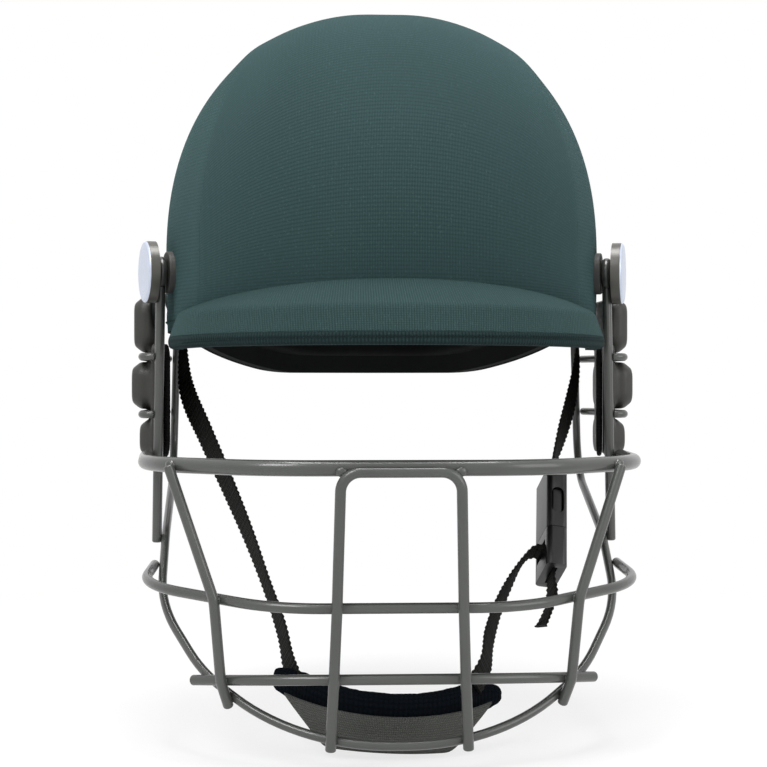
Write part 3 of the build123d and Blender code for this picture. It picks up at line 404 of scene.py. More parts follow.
def turned_metal(name, side):
    """Pale metal with rings round the cap's axis on one side."""
    material, tree, shader = new_material(name)
    place = tree.nodes.new("ShaderNodeTexCoord").outputs["Object"]
    axis = (side * OUT_X, OUT_Y, 0)
    from_pivot = vector_math(tree, "SUBTRACT", place, (side * PIVOT_X, PIVOT_Y, PIVOT_Z))
    crossing = vector_math(tree, "CROSS_PRODUCT", from_pivot.outputs[0], axis)
    reach = vector_math(tree, "LENGTH", crossing.outputs[0])
    rings = tree.nodes.new("ShaderNodeTexNoise")
    rings.noise_dimensions = "1D"
    rings.inputs["Detail"].default_value = 5
    rings.inputs["Scale"].default_value = 1500
    tree.links.new(reach.outputs["Value"], rings.inputs["W"])
    base = mix_color(tree, rings.outputs["Fac"], (0.60, 0.65, 0.76), (0.44, 0.49, 0.60))
    outwards = vector_math(tree, "DOT_PRODUCT", from_pivot.outputs[0], axis)
    wall = math_node(tree, "LESS_THAN", outwards.outputs["Value"], CAP_FACE - FACE_EDGE)
    base = mix_color(tree, wall, base, (0.085, 0.082, 0.074))
    tree.links.new(base, shader.inputs["Base Color"])
    shader.inputs["Metallic"].default_value = 0.35
    uneven = math_node(tree, "MULTIPLY", rings.outputs["Fac"], 0.2)
    tree.links.new(math_node(tree, "ADD", uneven, 0.25), shader.inputs["Roughness"])
    relief(tree, shader, rings.outputs["Fac"], 0.2, 0.1 * MM)
    print("finish", name)
    return material


cap_metal = {"left": turned_metal("left_cap_metal", -1), "right": turned_metal("right_cap_metal", 1)}

# %% [markdown]
# ## Solids that stay
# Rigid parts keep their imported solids. Modifiers work on them without touching the
# mesh: Weld joins its loose triangles, Bevel rounds the moulded buckle, and Edge
# Split keeps real corners sharp where the rest is shaded smooth.

# %% Finishes for the solids
finishes = {
    "shell": shell_plastic, "peak_insert": shell_plastic,
    "slide_bushes": bush_plastic, "slide_washers": bush_plastic,
    "slide_screws": plain_steel, "slide_nuts": plain_steel, "strap_rivets": plain_steel,
    "buckle_socket": buckle_plastic, "buckle_plug": buckle_plastic,
}
for wire in ("perimeter_wire", "left_upright", "right_upright", "top_bar", "middle_bar", "lower_bar",
             "centre_hoop", "left_outer_bar", "right_outer_bar", "left_upper_hoop", "left_lower_hoop",
             "right_upper_hoop", "right_lower_hoop"):
    finishes[wire] = wire_paint
for side_name in ("left", "right"):
    finishes[f"{side_name}_pivot_boss"] = boss_plastic
    finishes[f"{side_name}_pivot_screw"] = plain_steel
    finishes[f"{side_name}_pivot_nut"] = plain_steel
    finishes[f"{side_name}_pivot_cap"] = cap_metal[side_name]

BUCKLE_ROUND = 0.8 * MM
for name, finish in finishes.items():
    solid = nodes[name]
    solid.data.materials.clear()
    solid.data.materials.append(finish)
    for polygon in solid.data.polygons:
        polygon.use_smooth = True
    weld = solid.modifiers.new("weld", "WELD")
    weld.merge_threshold = 0.00001
    if finish is buckle_plastic:
        bevel = solid.modifiers.new("soft_edge", "BEVEL")
        bevel.width = BUCKLE_ROUND
        bevel.segments = 3
        bevel.limit_method = "ANGLE"
        bevel.angle_limit = math.radians(28)
    hard_edges = solid.modifiers.new("hard_edges", "EDGE_SPLIT")
    hard_edges.split_angle = math.radians(40)
print("finished solids", len(finishes))


# %% [markdown]
# ## Building sheets from rows of points
# Most cloth here is a grid: rows of points that follow the shape. One helper makes
# the mesh and its UV map, in metres along the rows and columns. Others close the
# ends of a tube and give a sheet its thickness.

# %% Grid helper
def link(name, mesh, material):
    """New piece from a mesh."""
    mesh.materials.clear()
    mesh.materials.append(material)
    piece = bpy.data.objects.new(name, mesh)
    bpy.context.scene.collection.objects.link(piece)
    return piece


def grid(name, rows, material, wrap=False, uv=None):
    """Smooth sheet through rows of points. wrap joins the last column to the first."""
    rows = np.array(rows, float)
    count, width = rows.shape[:2]
    steps = np.linalg.norm(np.diff(rows, axis=0), axis=2).mean(1)
    down = np.concatenate([[0], np.cumsum(steps)])
    if uv is None:
        widest = np.linalg.norm(np.diff(rows, axis=1), axis=2).sum(1).max()
        across = np.linspace(0, widest, width + int(wrap))
        uv = [[(across[j], down[i]) for j in range(width + int(wrap))] for i in range(count)]
    faces = []
    corners = []
    for i in range(count - 1):
        for j in range(width if wrap else width - 1):
            k = (j + 1) % width
            faces.append((i * width + j, i * width + k, (i + 1) * width + k, (i + 1) * width + j))
            corners += [uv[i][j], uv[i][j + 1], uv[i + 1][j + 1], uv[i + 1][j]]
    mesh = bpy.data.meshes.new(name)
    mesh.from_pydata([tuple(p) for p in rows.reshape(-1, 3)], [], faces)
    layer = mesh.uv_layers.new(name="cloth")
    layer.data.foreach_set("uv", np.array(corners, np.float32).ravel())
    mesh.polygons.foreach_set("use_smooth", [True] * len(mesh.polygons))
    return link(name, mesh, material)


def close_ends(piece):
    """Fill a tube's open ends and turn its faces outwards."""
    mesh = bmesh.new()
    mesh.from_mesh(piece.data)
    bmesh.ops.holes_fill(mesh, edges=[e for e in mesh.edges if e.is_boundary])
    bmesh.ops.recalc_face_normals(mesh, faces=mesh.faces)
    mesh.to_mesh(piece.data)
    mesh.free()


def thicken(piece, thickness):
    """Give a sheet its thickness in millimetres, inwards."""
    solid = piece.modifiers.new("thickness", "SOLIDIFY")
    solid.thickness = thickness * MM
    solid.offset = -1


# %% [markdown]
# ## The knitted cover
# The dome is a superellipse turned about the upright axis, longer behind than in
# front, and cut by a rim that drops from brow to nape. The cover has a raised
# centre panel that runs from brow to crown, with a soft ridge on each side and a
# shallow dip between them at the top, and it turns in under the rim.

# %% Dome shape
HALF_WIDTH, FRONT_DEPTH, REAR_DEPTH = 102 * MM, 121 * MM, 124 * MM
DOME_HEIGHT, WIDEST_Z, SKIRT, TAPER, POWER = 115 * MM, -92.95 * MM, 62 * MM, 2.5 * MM, 2.3
RIM = [(-1.0, 20), (-0.084, 20), (-0.062, 33), (0.040, 33), (0.104, 51), (1.0, 51)]
PANEL_HALF, PANEL_NARROWING = 83.5, 33
PANEL_RISE, RIDGE_RISE, SIDE_DROP, DIP_DEPTH = 0.9, 0.7, 0.35, 0.9
RIDGE_WIDTH, STEP_WIDTH, DIP_WIDTH = 0.0045, 0.0016, 0.013


def rim_height(y):
    """Height of the cover's lower edge at this depth, with the corners eased."""
    def broken(at):
        """Height drop on the straight runs between the listed corners."""
        for (y0, d0), (y1, d1) in zip(RIM, RIM[1:]):
            if at <= y1:
                return d0 + (d1 - d0) * (at - y0) / (y1 - y0)
        return RIM[-1][1]

    eased = sum(broken(y + offset * MM) for offset in (-6, -3, 0, 3, 6)) / 5
    return WIDEST_Z - eased * MM


def dome_point(turn, down, gap=0.0):
    """Point of the dome. down runs 0 to 1 over the crown and 1 to 2 down the skirt."""
    depth = FRONT_DEPTH if math.cos(turn) > 0 else REAR_DEPTH
    reach = HALF_WIDTH - gap
    if down <= 1:
        angle = down * math.pi / 2
        radius = reach * max(math.sin(angle), 0) ** (2 / POWER)
        z = WIDEST_Z + (DOME_HEIGHT - gap) * max(math.cos(angle), 0) ** (2 / POWER)
    else:
        share = down - 1
        radius = reach - TAPER * share * share
        z = WIDEST_Z - SKIRT * share
    return Vector((radius * math.sin(turn), -radius * math.cos(turn) * (depth - gap) / reach, z))


def panel_edge(z):
    """Half width of the centre panel at a height."""
    up = (z - WIDEST_Z) / DOME_HEIGHT
    return (PANEL_HALF - PANEL_NARROWING * max(0.0, up) ** 2.2) * MM


def panel_lift(point):
    """How far the cover stands proud: the centre panel, its ridges and the crown dip."""
    up = (point.z - WIDEST_Z) / DOME_HEIGHT
    fade = 1 - min(1.0, max(0.0, (point.y - 0.05) / 0.04))
    side = abs(point.x) - panel_edge(point.z)
    ridge = math.exp(-((side / RIDGE_WIDTH) ** 2))
    panel = 1 / (1 + math.exp(max(-30, min(30, side / STEP_WIDTH))))
    crown = max(0.0, up - 0.8) / 0.2
    dip = math.exp(-((point.x / DIP_WIDTH) ** 2))
    raised = RIDGE_RISE * ridge + PANEL_RISE * panel - SIDE_DROP
    return fade * MM * raised - DIP_DEPTH * MM * crown * dip


def rim_foot(turn, lift=0.0):
    """Where this turn of the dome meets the rim, or a line so many millimetres above it."""
    down = 1.0
    for _ in range(24):
        point = dome_point(turn, down)
        down = 1 + max(0.0, (WIDEST_Z - rim_height(point.y) - lift * MM) / SKIRT)
    return down


# %% Cover mesh
def cover_rows(columns=288, steps=96):
    """Rows from crown to rim, then a narrow turn-in under the edge."""
    rows = []
    turns = [2 * math.pi * j / columns for j in range(columns)]
    feet = [rim_foot(turn) for turn in turns]
    for i in range(1, steps + 1):
        share = i / steps
        row = []
        for turn, foot in zip(turns, feet):
            down = foot * (share ** 0.85)
            point = dome_point(turn, down)
            normal = (point - dome_point(turn, down, 4 * MM)).normalized()
            row.append(point + normal * panel_lift(point))
        rows.append(row)
    for inset, rise in ((0.3, -0.25), (0.9, -0.3), (1.15, 0.5), (1.15, 4.0)):
        row = []
        for turn, foot in zip(turns, feet):
            point = dome_point(turn, foot, inset * MM)
            row.append(point + Vector((0, 0, rise * MM)))
        rows.append(row)
    return rows


rows = cover_rows()
dome_cloth = grid("dome_cloth", rows, cover_cloth, wrap=True)
dome_cloth.data.materials.append(binding_cloth)


def sewn_uv(mesh):
    """Map in metres that breaks at the ridge, where the panels of the cover are sewn."""
    layer = mesh.uv_layers["cloth"].data
    for polygon in mesh.polygons:
        inside = abs(polygon.center.x) < panel_edge(polygon.center.z)
        for index in polygon.loop_indices:
            x, y, z = mesh.vertices[mesh.loops[index].vertex_index].co
            if inside:
                over = 0.118 * math.atan2(-y, z - WIDEST_Z + 0.02)
                layer[index].uv = (x * (1 + 12 * x * x), over)
            else:
                layer[index].uv = (0.105 * math.atan2(abs(x), -y), z)


sewn_uv(dome_cloth.data)
foot_row = len(rows) - 4
for polygon in dome_cloth.data.polygons:
    if polygon.index >= (foot_row - 1) * len(rows[0]):
        polygon.material_index = 1
mesh = bmesh.new()
mesh.from_mesh(dome_cloth.data)
edge = [e for e in mesh.edges if e.is_boundary and e.verts[0].co.z > 0]
layer = mesh.loops.layers.uv["cloth"]
filled = bmesh.ops.contextual_create(mesh, geom=edge)
for face in filled["faces"]:
    face.smooth = True
    for loop in face.loops:
        loop[layer].uv = (loop.vert.co.x, 0.118 * math.atan2(-loop.vert.co.y, 0.13))
bmesh.ops.recalc_face_normals(mesh, faces=mesh.faces)
mesh.to_mesh(dome_cloth.data)
mesh.free()
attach(dome_cloth, "helmet")
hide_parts("shell_cover")
print("cover", len(dome_cloth.data.polygons), "faces")

# %% [markdown]
# ## The peak
# One section is carried round the front: a flat run out of the dome, a slope, a
# thick rounded lip, and a ribbed hem under it. The cloth is a little proud of the
# moulded insert, and starts just inside the dome's cover.

# %% Peak section
PEAK_ROOT, PEAK_SCALE = 40 * MM, 97 / 115


def level(drop):
    """Height of a drop below the widest level, both in the maker's millimetres."""
    return WIDEST_Z - drop * MM


def smooth_line(points, radius, arc_steps=6):
    """Polyline with its corners rounded, as (distance, height) pairs in millimetres."""
    line = [Vector(points[0])]
    for i in range(1, len(points) - 1):
        before, corner, after = (Vector(points[k]) for k in (i - 1, i, i + 1))
        r = radius[i - 1]
        back = (before - corner).normalized()
        ahead = (after - corner).normalized()
        half = math.acos(max(-1, min(1, back.dot(ahead)))) / 2
        reach = min(r / math.tan(half), (before - corner).length * 0.9, (after - corner).length * 0.9)
        start, end = corner + back * reach, corner + ahead * reach
        for step in range(arc_steps + 1):
            t = step / arc_steps
            line.append((start * (1 - t) ** 2 + corner * 2 * t * (1 - t) + end * t * t))
    line.append(Vector(points[-1]))
    return line


def resampled(line, count):
    """The same line in even steps."""
    lengths = [0.0]
    for a, b in zip(line, line[1:]):
        lengths.append(lengths[-1] + (b - a).length)
    result = []
    for i in range(count):
        want = lengths[-1] * i / (count - 1)
        k = max(j for j in range(len(lengths)) if lengths[j] <= want + 1e-9)
        k = min(k, len(line) - 2)
        span = lengths[k + 1] - lengths[k]
        t = (want - lengths[k]) / span if span else 0
        result.append(line[k].lerp(line[k + 1], t))
    return result


def peak_place(distance, drop, turn):
    """Point of the peak from its section and the angle round its front."""
    x = distance * MM * math.sin(turn) * PEAK_SCALE
    return Vector((x, -PEAK_ROOT - distance * MM * math.cos(turn), level(drop)))


def outside_dome(point):
    """How far a point lies outside the dome's cover, in plan, as a share."""
    depth = FRONT_DEPTH if point.y < 0 else REAR_DEPTH
    drop = (WIDEST_Z - point.z) / SKIRT
    reach = HALF_WIDTH - TAPER * max(0.0, drop) ** 2
    return math.hypot(point.x / reach, point.y / (depth * reach / HALF_WIDTH)) - 1


top_line = smooth_line([(58, 9), (67, 9), (110.5, 26.2), (115, 36.8)], [33, 4.0])
top_line = resampled(top_line, 64)
PEAK_COLUMNS = 161
turns = [math.radians(-90 + 180 * j / (PEAK_COLUMNS - 1)) for j in range(PEAK_COLUMNS)]


def peak_sheet(name, line, material, slant=0.0):
    """Sheet of the peak from the dome out along a section line. Slant leans its ribs."""
    rows = [[] for _ in range(len(line))]
    for turn in turns:
        points = [peak_place(p.x, p.y, turn) for p in line]
        first = 0
        while first < len(points) - 2 and outside_dome(points[first + 1]) < -0.004:
            first += 1
        kept = resampled(points[first:], len(line))
        for row, point in zip(rows, kept):
            row.append(point)
    uv = []
    for i, row in enumerate(rows):
        out = [(row[j] - rows[0][j]).length for j in range(len(row))]
        uv.append([(turns[j] * 0.11 - out[j] * slant * math.sin(turns[j]), out[j]) for j in range(len(row))])
    return grid(name, rows, material, uv=uv)


peak_top = peak_sheet("peak_cloth", top_line, peak_cloth, slant=-0.9)
thicken(peak_top, 0.9)
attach(peak_top, "helmet")
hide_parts("peak_cover")
print("peak", len(peak_top.data.polygons), "faces")

# %% [markdown]
# The hem is a knitted band pulled tight under the lip. Its ribs stand out, so they
# are real geometry: a Geometry Nodes tree sets one thin rib after another along
# the lower edge of the lip.

# %% Hem band
hem_line = smooth_line([(115.1, 36.6), (115.6, 38.2), (115.2, 40.6), (112.5, 41.0), (108.4, 40.9)],
                       [1.5, 1.2, 1.0])
hem_line = resampled(hem_line, 22)
hem = peak_sheet("peak_hem_band", hem_line, hem_cloth)
thicken(hem, 0.8)
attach(hem, "helmet")
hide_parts("peak_hem")
print("hem", len(hem.data.polygons), "faces")


# %% [markdown]
# ## Repeats along a path
# Stitches, hem ribs and weld beads are all small shapes set along a line. One
# Geometry Nodes tree resamples a curve, puts the shape at every point and turns
# it along the line. Each use gives its own spacing and size.

# %% Geometry Nodes tree for repeats
def repeat_tree():
    """Tree that sets a flattened bead along a curve."""
    group = bpy.data.node_groups.new("beads_along_curve", "GeometryNodeTree")
    face = group.interface
    face.new_socket("Geometry", in_out="INPUT", socket_type="NodeSocketGeometry")
    for label, value in (("Spacing", 0.003), ("Length", 0.002), ("Width", 0.0006), ("Height", 0.0004)):
        socket = face.new_socket(label, in_out="INPUT", socket_type="NodeSocketFloat")
        socket.default_value = value
    face.new_socket("Material", in_out="INPUT", socket_type="NodeSocketMaterial")
    face.new_socket("Geometry", in_out="OUTPUT", socket_type="NodeSocketGeometry")
    links, make = group.links, group.nodes.new
    begin, end = make("NodeGroupInput"), make("NodeGroupOutput")
    resample = make("GeometryNodeResampleCurve")
    resample.mode = "LENGTH"
    links.new(begin.outputs["Geometry"], resample.inputs["Curve"])
    links.new(begin.outputs["Spacing"], resample.inputs["Length"])
    bead = make("GeometryNodeMeshUVSphere")
    bead.inputs["Segments"].default_value = 8
    bead.inputs["Rings"].default_value = 5
    bead.inputs["Radius"].default_value = 0.5
    size = make("ShaderNodeCombineXYZ")
    links.new(begin.outputs["Width"], size.inputs["X"])
    links.new(begin.outputs["Height"], size.inputs["Y"])
    links.new(begin.outputs["Length"], size.inputs["Z"])
    tangent = make("GeometryNodeInputTangent")
    turn = make("FunctionNodeAlignRotationToVector")
    turn.axis = "Z"
    links.new(tangent.outputs[0], turn.inputs["Vector"])
    instance = make("GeometryNodeInstanceOnPoints")
    links.new(resample.outputs[0], instance.inputs["Points"])
    links.new(bead.outputs["Mesh"], instance.inputs["Instance"])
    links.new(turn.outputs[0], instance.inputs["Rotation"])
    links.new(size.outputs[0], instance.inputs["Scale"])
    realize = make("GeometryNodeRealizeInstances")
    links.new(instance.outputs[0], realize.inputs[0])
    smooth = make("GeometryNodeSetShadeSmooth")
    links.new(realize.outputs[0], smooth.inputs["Geometry"])
    paint = make("GeometryNodeSetMaterial")
    links.new(smooth.outputs[0], paint.inputs["Geometry"])
    links.new(begin.outputs["Material"], paint.inputs["Material"])
    links.new(paint.outputs[0], end.inputs["Geometry"])
    return group


bead_tree = repeat_tree()


def beads(name, paths, material, body, slot, closed=False, **sizes):
    """Beads along several paths, as one plain mesh on a body."""
    curve = bpy.data.curves.new(name + "_path", "CURVE")
    curve.dimensions = "3D"
    for points in paths:
        spline = curve.splines.new("POLY")
        spline.points.add(len(points) - 1)
        for point, place in zip(spline.points, points):
            point.co = (*place, 1)
        spline.use_cyclic_u = closed
    guide = bpy.data.objects.new(name + "_guide", curve)
    bpy.context.scene.collection.objects.link(guide)
    modifier = guide.modifiers.new("beads", "NODES")
    modifier.node_group = bead_tree
    for item in bead_tree.interface.items_tree:
        if item.in_out == "INPUT" and item.name in sizes:
            modifier[item.identifier] = sizes[item.name]
        if item.in_out == "INPUT" and item.name == "Material":
            modifier[item.identifier] = material
    graph = bpy.context.evaluated_depsgraph_get()
    mesh = bpy.data.meshes.new_from_object(guide.evaluated_get(graph), depsgraph=graph)
    bpy.data.objects.remove(guide)
    piece = link(name, mesh, material)
    piece.data.name = name
    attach(piece, body)
    print(name, len(mesh.polygons), "faces")
    return piece


# %% Hem ribs and rim stitches
rib_path = [peak_place(115.75, 38.6, t) for t in turns]
beads("peak_hem_ribs", [rib_path], hem_cloth, "helmet", "hem_cloth",
      Spacing=0.0016, Length=0.0009, Width=0.0005, Height=0.0034)


def rim_path(lift, out):
    """Line round the dome, just above its lower edge."""
    turns = [2 * math.pi * j / 360 for j in range(361)]
    return [dome_point(turn, rim_foot(turn, lift), -out * MM) for turn in turns]


rear_rim = [p for p in rim_path(4.5, 0.15) if p.y > -0.075]
split_at = max(range(len(rear_rim) - 1), key=lambda i: (rear_rim[i + 1] - rear_rim[i]).length)
rear_rim = rear_rim[split_at + 1:] + rear_rim[:split_at + 1]
beads("rim_stitches", [rear_rim], cover_cloth, "helmet", "cover_cloth",
      Spacing=0.0034, Length=0.0024, Width=0.0007, Height=0.0006)


# %% [markdown]
# ## Padded pieces
# Comfort pads and ear linings are cloth over foam. Each starts from its own solid,
# is remeshed fine and smoothed, and swells a little under a short cloth simulation
# with inside pressure. A cap on the travel keeps it clear of the parts round it.

# %% Remesh helper
def remeshed(name, node, material, voxel, rounds):
    """Even, smoothed copy of a solid's skin."""
    piece = link(name, nodes[node].data.copy(), material)
    weld = piece.modifiers.new("weld", "WELD")
    weld.merge_threshold = 0.02 * MM
    remesh = piece.modifiers.new("remesh", "REMESH")
    remesh.mode = "VOXEL"
    remesh.voxel_size = voxel * MM
    smooth = piece.modifiers.new("smooth", "SMOOTH")
    smooth.factor = 0.5
    smooth.iterations = rounds
    graph = bpy.context.evaluated_depsgraph_get()
    made = bpy.data.meshes.new_from_object(piece.evaluated_get(graph), depsgraph=graph)
    piece.modifiers.clear()
    piece.data = made
    made.materials.clear()
    made.materials.append(material)
    made.polygons.foreach_set("use_smooth", [True] * len(made.polygons))
    return piece


# %% Cloth simulation helper
PRESSURE, STIFFNESS = 4.0, 20


def padded_copy(name, node, body, material, voxel=3.2, cap=1.6, frames=14, shrink=0.5):
    """Swollen cloth copy of a soft solid."""
    piece = remeshed(name, node, material, voxel, rounds=4)
    made = piece.data
    count = len(made.vertices)
    start = np.zeros(count * 3)
    made.vertices.foreach_get("co", start)
    start = start.reshape(-1, 3)
    normals = np.array([v.normal for v in made.vertices])
    start = start - normals * shrink * MM
    made.vertices.foreach_set("co", start.ravel())
    cloth_mod = piece.modifiers.new("cloth", "CLOTH")
    cloth_mod.settings.use_pressure = True
    cloth_mod.settings.uniform_pressure_force = PRESSURE
    cloth_mod.settings.effector_weights.gravity = 0
    cloth_mod.settings.tension_stiffness = STIFFNESS
    cloth_mod.settings.compression_stiffness = STIFFNESS
    cloth_mod.point_cache.frame_start = 1
    cloth_mod.point_cache.frame_end = frames
    scene = bpy.context.scene
    for step in range(1, frames + 1):
        scene.frame_set(step)
    graph = bpy.context.evaluated_depsgraph_get()
    blown = bpy.data.meshes.new_from_object(piece.evaluated_get(graph), depsgraph=graph)
    piece.modifiers.clear()
    end = np.zeros(count * 3)
    blown.vertices.foreach_get("co", end)
    travel = end.reshape(-1, 3) - start
    far = np.linalg.norm(travel, axis=1, keepdims=True)
    travel *= np.minimum(1, cap * MM / np.maximum(far, 1e-9))
    made.vertices.foreach_set("co", (start + travel).ravel())
    scene.frame_set(1)
    uv_layer = made.uv_layers.get("cloth") or made.uv_layers.new(name="cloth")
    low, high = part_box(node)
    span = high - low
    flat_axis = min(range(3), key=lambda k: span[k])
    first, second = [k for k in range(3) if k != flat_axis]
    places = [made.vertices[loop.vertex_index].co for loop in made.loops]
    coords = [(place[first], place[second]) for place in places]
    uv_layer.data.foreach_set("uv", np.array(coords, np.float32).ravel())
    divide = piece.modifiers.new("smooth_form", "SUBSURF")
    divide.levels = divide.render_levels = 1
    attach(piece, body)
    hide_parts(node)
    print(name, count, "points")
    return piece


# %% Comfort pads and ear linings
for node in ("brow_pad", "nape_pad", "crown_pad", "left_side_pad", "right_side_pad"):
    padded_copy(node + "_cloth", node, "helmet", pad_cloth)
for side_name in ("left", "right"):
    padded_copy(side_name + "_lining_cloth", side_name + "_ear_lining", "face_guard", lining_cloth,
                voxel=0.75, cap=0.4, shrink=0.15, frames=8)

# %% [markdown]
# ## Rubber ear guards and foam liner
# Each guard is one soft rubber moulding with three fat bulges. Its solid has crisp
# bevels, so a fine remesh and a few rounds of smoothing give the melted look of
# moulded rubber while it stays on its hoops. The foam liner is softened less.

# %% Ear guards and liner
def moulded_soft(name, node, material, body, voxel=0.9, rounds=9):
    """Softened copy of a moulding."""
    piece = remeshed(name, node, material, voxel, rounds)
    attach(piece, body)
    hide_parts(node)
    print(name, len(piece.data.polygons), "faces")


for side_name in ("left", "right"):
    moulded_soft(side_name + "_ear_guard", side_name + "_ear_pad", pad_rubber, "face_guard")
moulded_soft("foam_liner_form", "foam_liner", liner_foam, "helmet", voxel=1.8, rounds=2)

# %% [markdown]
# ## Chin cup
# The cup is a shallow trough of felted cloth that curves round the chin, with
# slanted ends and a turned-under foot. A grid that follows the angle round the
# chin gives it clean edges, and Solidify gives it its thickness.

# %% Cup
CUP_AXIS_Y, CUP_RADIUS, CUP_HALF = -65.3, 53.7, 44.0
CUP_TOP, CUP_END_RISE, CUP_FOOT, CUP_MIDDLE = -287.0, 4.6, -301.3, -288
HANG_ROLL, HANG_SIDE = math.radians(3.0), 2.4


def on_chin(angle, radius, z):
    """Point round the chin's upright axis, with the cup's slight hang to one side."""
    x, y = radius * math.sin(angle), CUP_AXIS_Y - radius * math.cos(angle)
    up, cosine, sine = z - CUP_MIDDLE, math.cos(HANG_ROLL), math.sin(HANG_ROLL)
    turned_x = x * cosine + up * sine
    turned_z = CUP_MIDDLE + up * cosine - x * sine
    return Vector((turned_x - HANG_SIDE, y, turned_z)) * MM


def cup_rows(columns=97):
    """Rows from the cup's upper edge down its wall and under its foot."""
    rows = []
    wall = [(0.0, 0.0), (0.12, 0.05), (0.3, 0.0), (0.5, 0.0), (0.7, 0.0), (0.84, -0.3), (0.94, -1.3),
            (1.0, -3.4), (1.03, -6.5), (1.03, -10.0), (1.0, -14.0), (0.97, -19.0)]
    for down, inward in wall:
        row = []
        for j in range(columns):
            share = -1 + 2 * j / (columns - 1)
            half = CUP_HALF * (1 - 0.4 * min(1.0, down)) + min(0.0, inward + 3) * 0.4
            x = half * share
            top = CUP_TOP + CUP_END_RISE * share * share
            z = top + (CUP_FOOT - top) * min(down, 1.0) + (down - 1.0) * 6 * (down > 1.0)
            row.append(on_chin(math.asin(x / CUP_RADIUS), CUP_RADIUS - 0.2 + inward, z))
        rows.append(row)
    return rows


cup = grid("chin_cup_cloth", cup_rows(), cup_cloth)
thicken(cup, 2.0)
rounding = cup.modifiers.new("round", "SUBSURF")
rounding.levels = rounding.render_levels = 1
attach(cup, "chin_strap")
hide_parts("chin_cup")
print("cup", len(cup.data.polygons), "faces")

# %% [markdown]
# The lining is a fat fleece band inside the cup. It stands above the cup's edge and
# flares into a small wing past each end. Its section is a soft oval carried round
# the chin, and noise makes its surface uneven like brushed pile.

# %% Fleece lining
def fleece_rows(columns=121, around=28):
    """Ovals carried round the chin. They close at both ends."""
    reach = math.radians(63)
    rows = []
    for i in range(columns):
        share = -1 + 2 * i / (columns - 1)
        angle = reach * share
        wing = max(0.0, abs(share) - 0.78) / 0.22
        rise = max(0.0, abs(share) - 0.52) / 0.48
        top = -278.6 + 7.2 * abs(share) ** 1.7 - (6.5 if share > 0 else 1.5) * wing ** 1.5
        bottom = -297.5 + (13.5 if share > 0 else 15.5) * rise
        middle_radius = 48.2 + 6.5 * wing ** 1.4
        close = math.sqrt(max(0.0, 1 - max(0.0, (abs(share) - 0.955) / 0.045) ** 2))
        thick = (2.9 - 1.0 * wing) * max(0.03, close)
        tall = (top - bottom) / 2 * (0.35 + 0.65 * max(0.0, close))
        row = []
        for k in range(around):
            turn = 2 * math.pi * k / around
            c, d = math.cos(turn), math.sin(turn)
            across = math.copysign(abs(c) ** 0.75, c) * thick
            up = math.copysign(abs(d) ** 0.75, d) * tall
            point = on_chin(angle, middle_radius + across, (top + bottom) / 2 + up)
            bump = noise.noise(point * 260) * 0.35 + noise.noise(point * 700) * 0.16
            outwards = Vector((math.sin(angle) * c, -math.cos(angle) * c, d))
            row.append(point + outwards * bump * MM)
        rows.append(row)
    return rows


fleece = grid("chin_fleece", fleece_rows(), fleece_cloth, wrap=True)
close_ends(fleece)
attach(fleece, "chin_strap")
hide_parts("chin_cup_lining")
print("fleece", len(fleece.data.polygons), "faces")

# %% [markdown]
# ## Webbing
# Flat webbing is modelled directly, because a remesh would erase it. Its route
# and the way its width lies at each point are the maker's own, in millimetres. A
# smooth line runs through them, and the heavy cross ribs of the weave are real
# bumps, one every 2.6 mm, which also make its edges knobbly.

# %% Webbing helper
WEB_WIDTH, WEB_THICK = 15.0, 1.6
RIB_PITCH, ROWS_PER_RIB = 2.6, 4
EDGE_WAVE, FACE_WAVE = 0.9, 0.6


def smooth_through(values, per_span=10):
    """Catmull-Rom curve through a list of vectors."""
    points = [Vector(v) for v in values]
    padded_points = [points[0] * 2 - points[1], *points, points[-1] * 2 - points[-2]]
    result = []
    for i in range(1, len(padded_points) - 2):
        a, b, c, d = padded_points[i - 1:i + 3]
        for step in range(per_span):
            t = step / per_span
            result.append(0.5 * (2 * b + (c - a) * t + (2 * a - 5 * b + 4 * c - d) * t * t
                                 + (3 * b - a - 3 * c + d) * t ** 3))
    result.append(points[-1])
    return result


def web_section():
    """Outline of the webbing with round selvedges, as shares of its width and thickness."""
    outline = []
    for side in (1, -1):
        for k in range(13):
            x = side * (-1 + 2 * k / 12)
            outline.append((x * 0.5, side * 0.5 * (1 - abs(x) ** 9) ** 0.5))
    clean = []
    for point in outline:
        if not clean or (Vector(point) - Vector(clean[-1])).length > 0.004:
            clean.append(point)
    return clean


def even_line(line, widths, step):
    """The same line in even steps, with its width directions."""
    lengths = [0.0]
    for a, b in zip(line, line[1:]):
        lengths.append(lengths[-1] + (b - a).length)
    count = max(8, round(lengths[-1] / step))
    places, ways, k = [], [], 0
    for i in range(count + 1):
        want = lengths[-1] * i / count
        while k < len(line) - 2 and lengths[k + 1] < want:
            k += 1
        t = (want - lengths[k]) / max(1e-9, lengths[k + 1] - lengths[k])
        places.append(line[k].lerp(line[k + 1], min(1.0, t)))
        ways.append(widths[k].lerp(widths[k + 1], min(1.0, t)))
    return places, ways, lengths[-1] / count


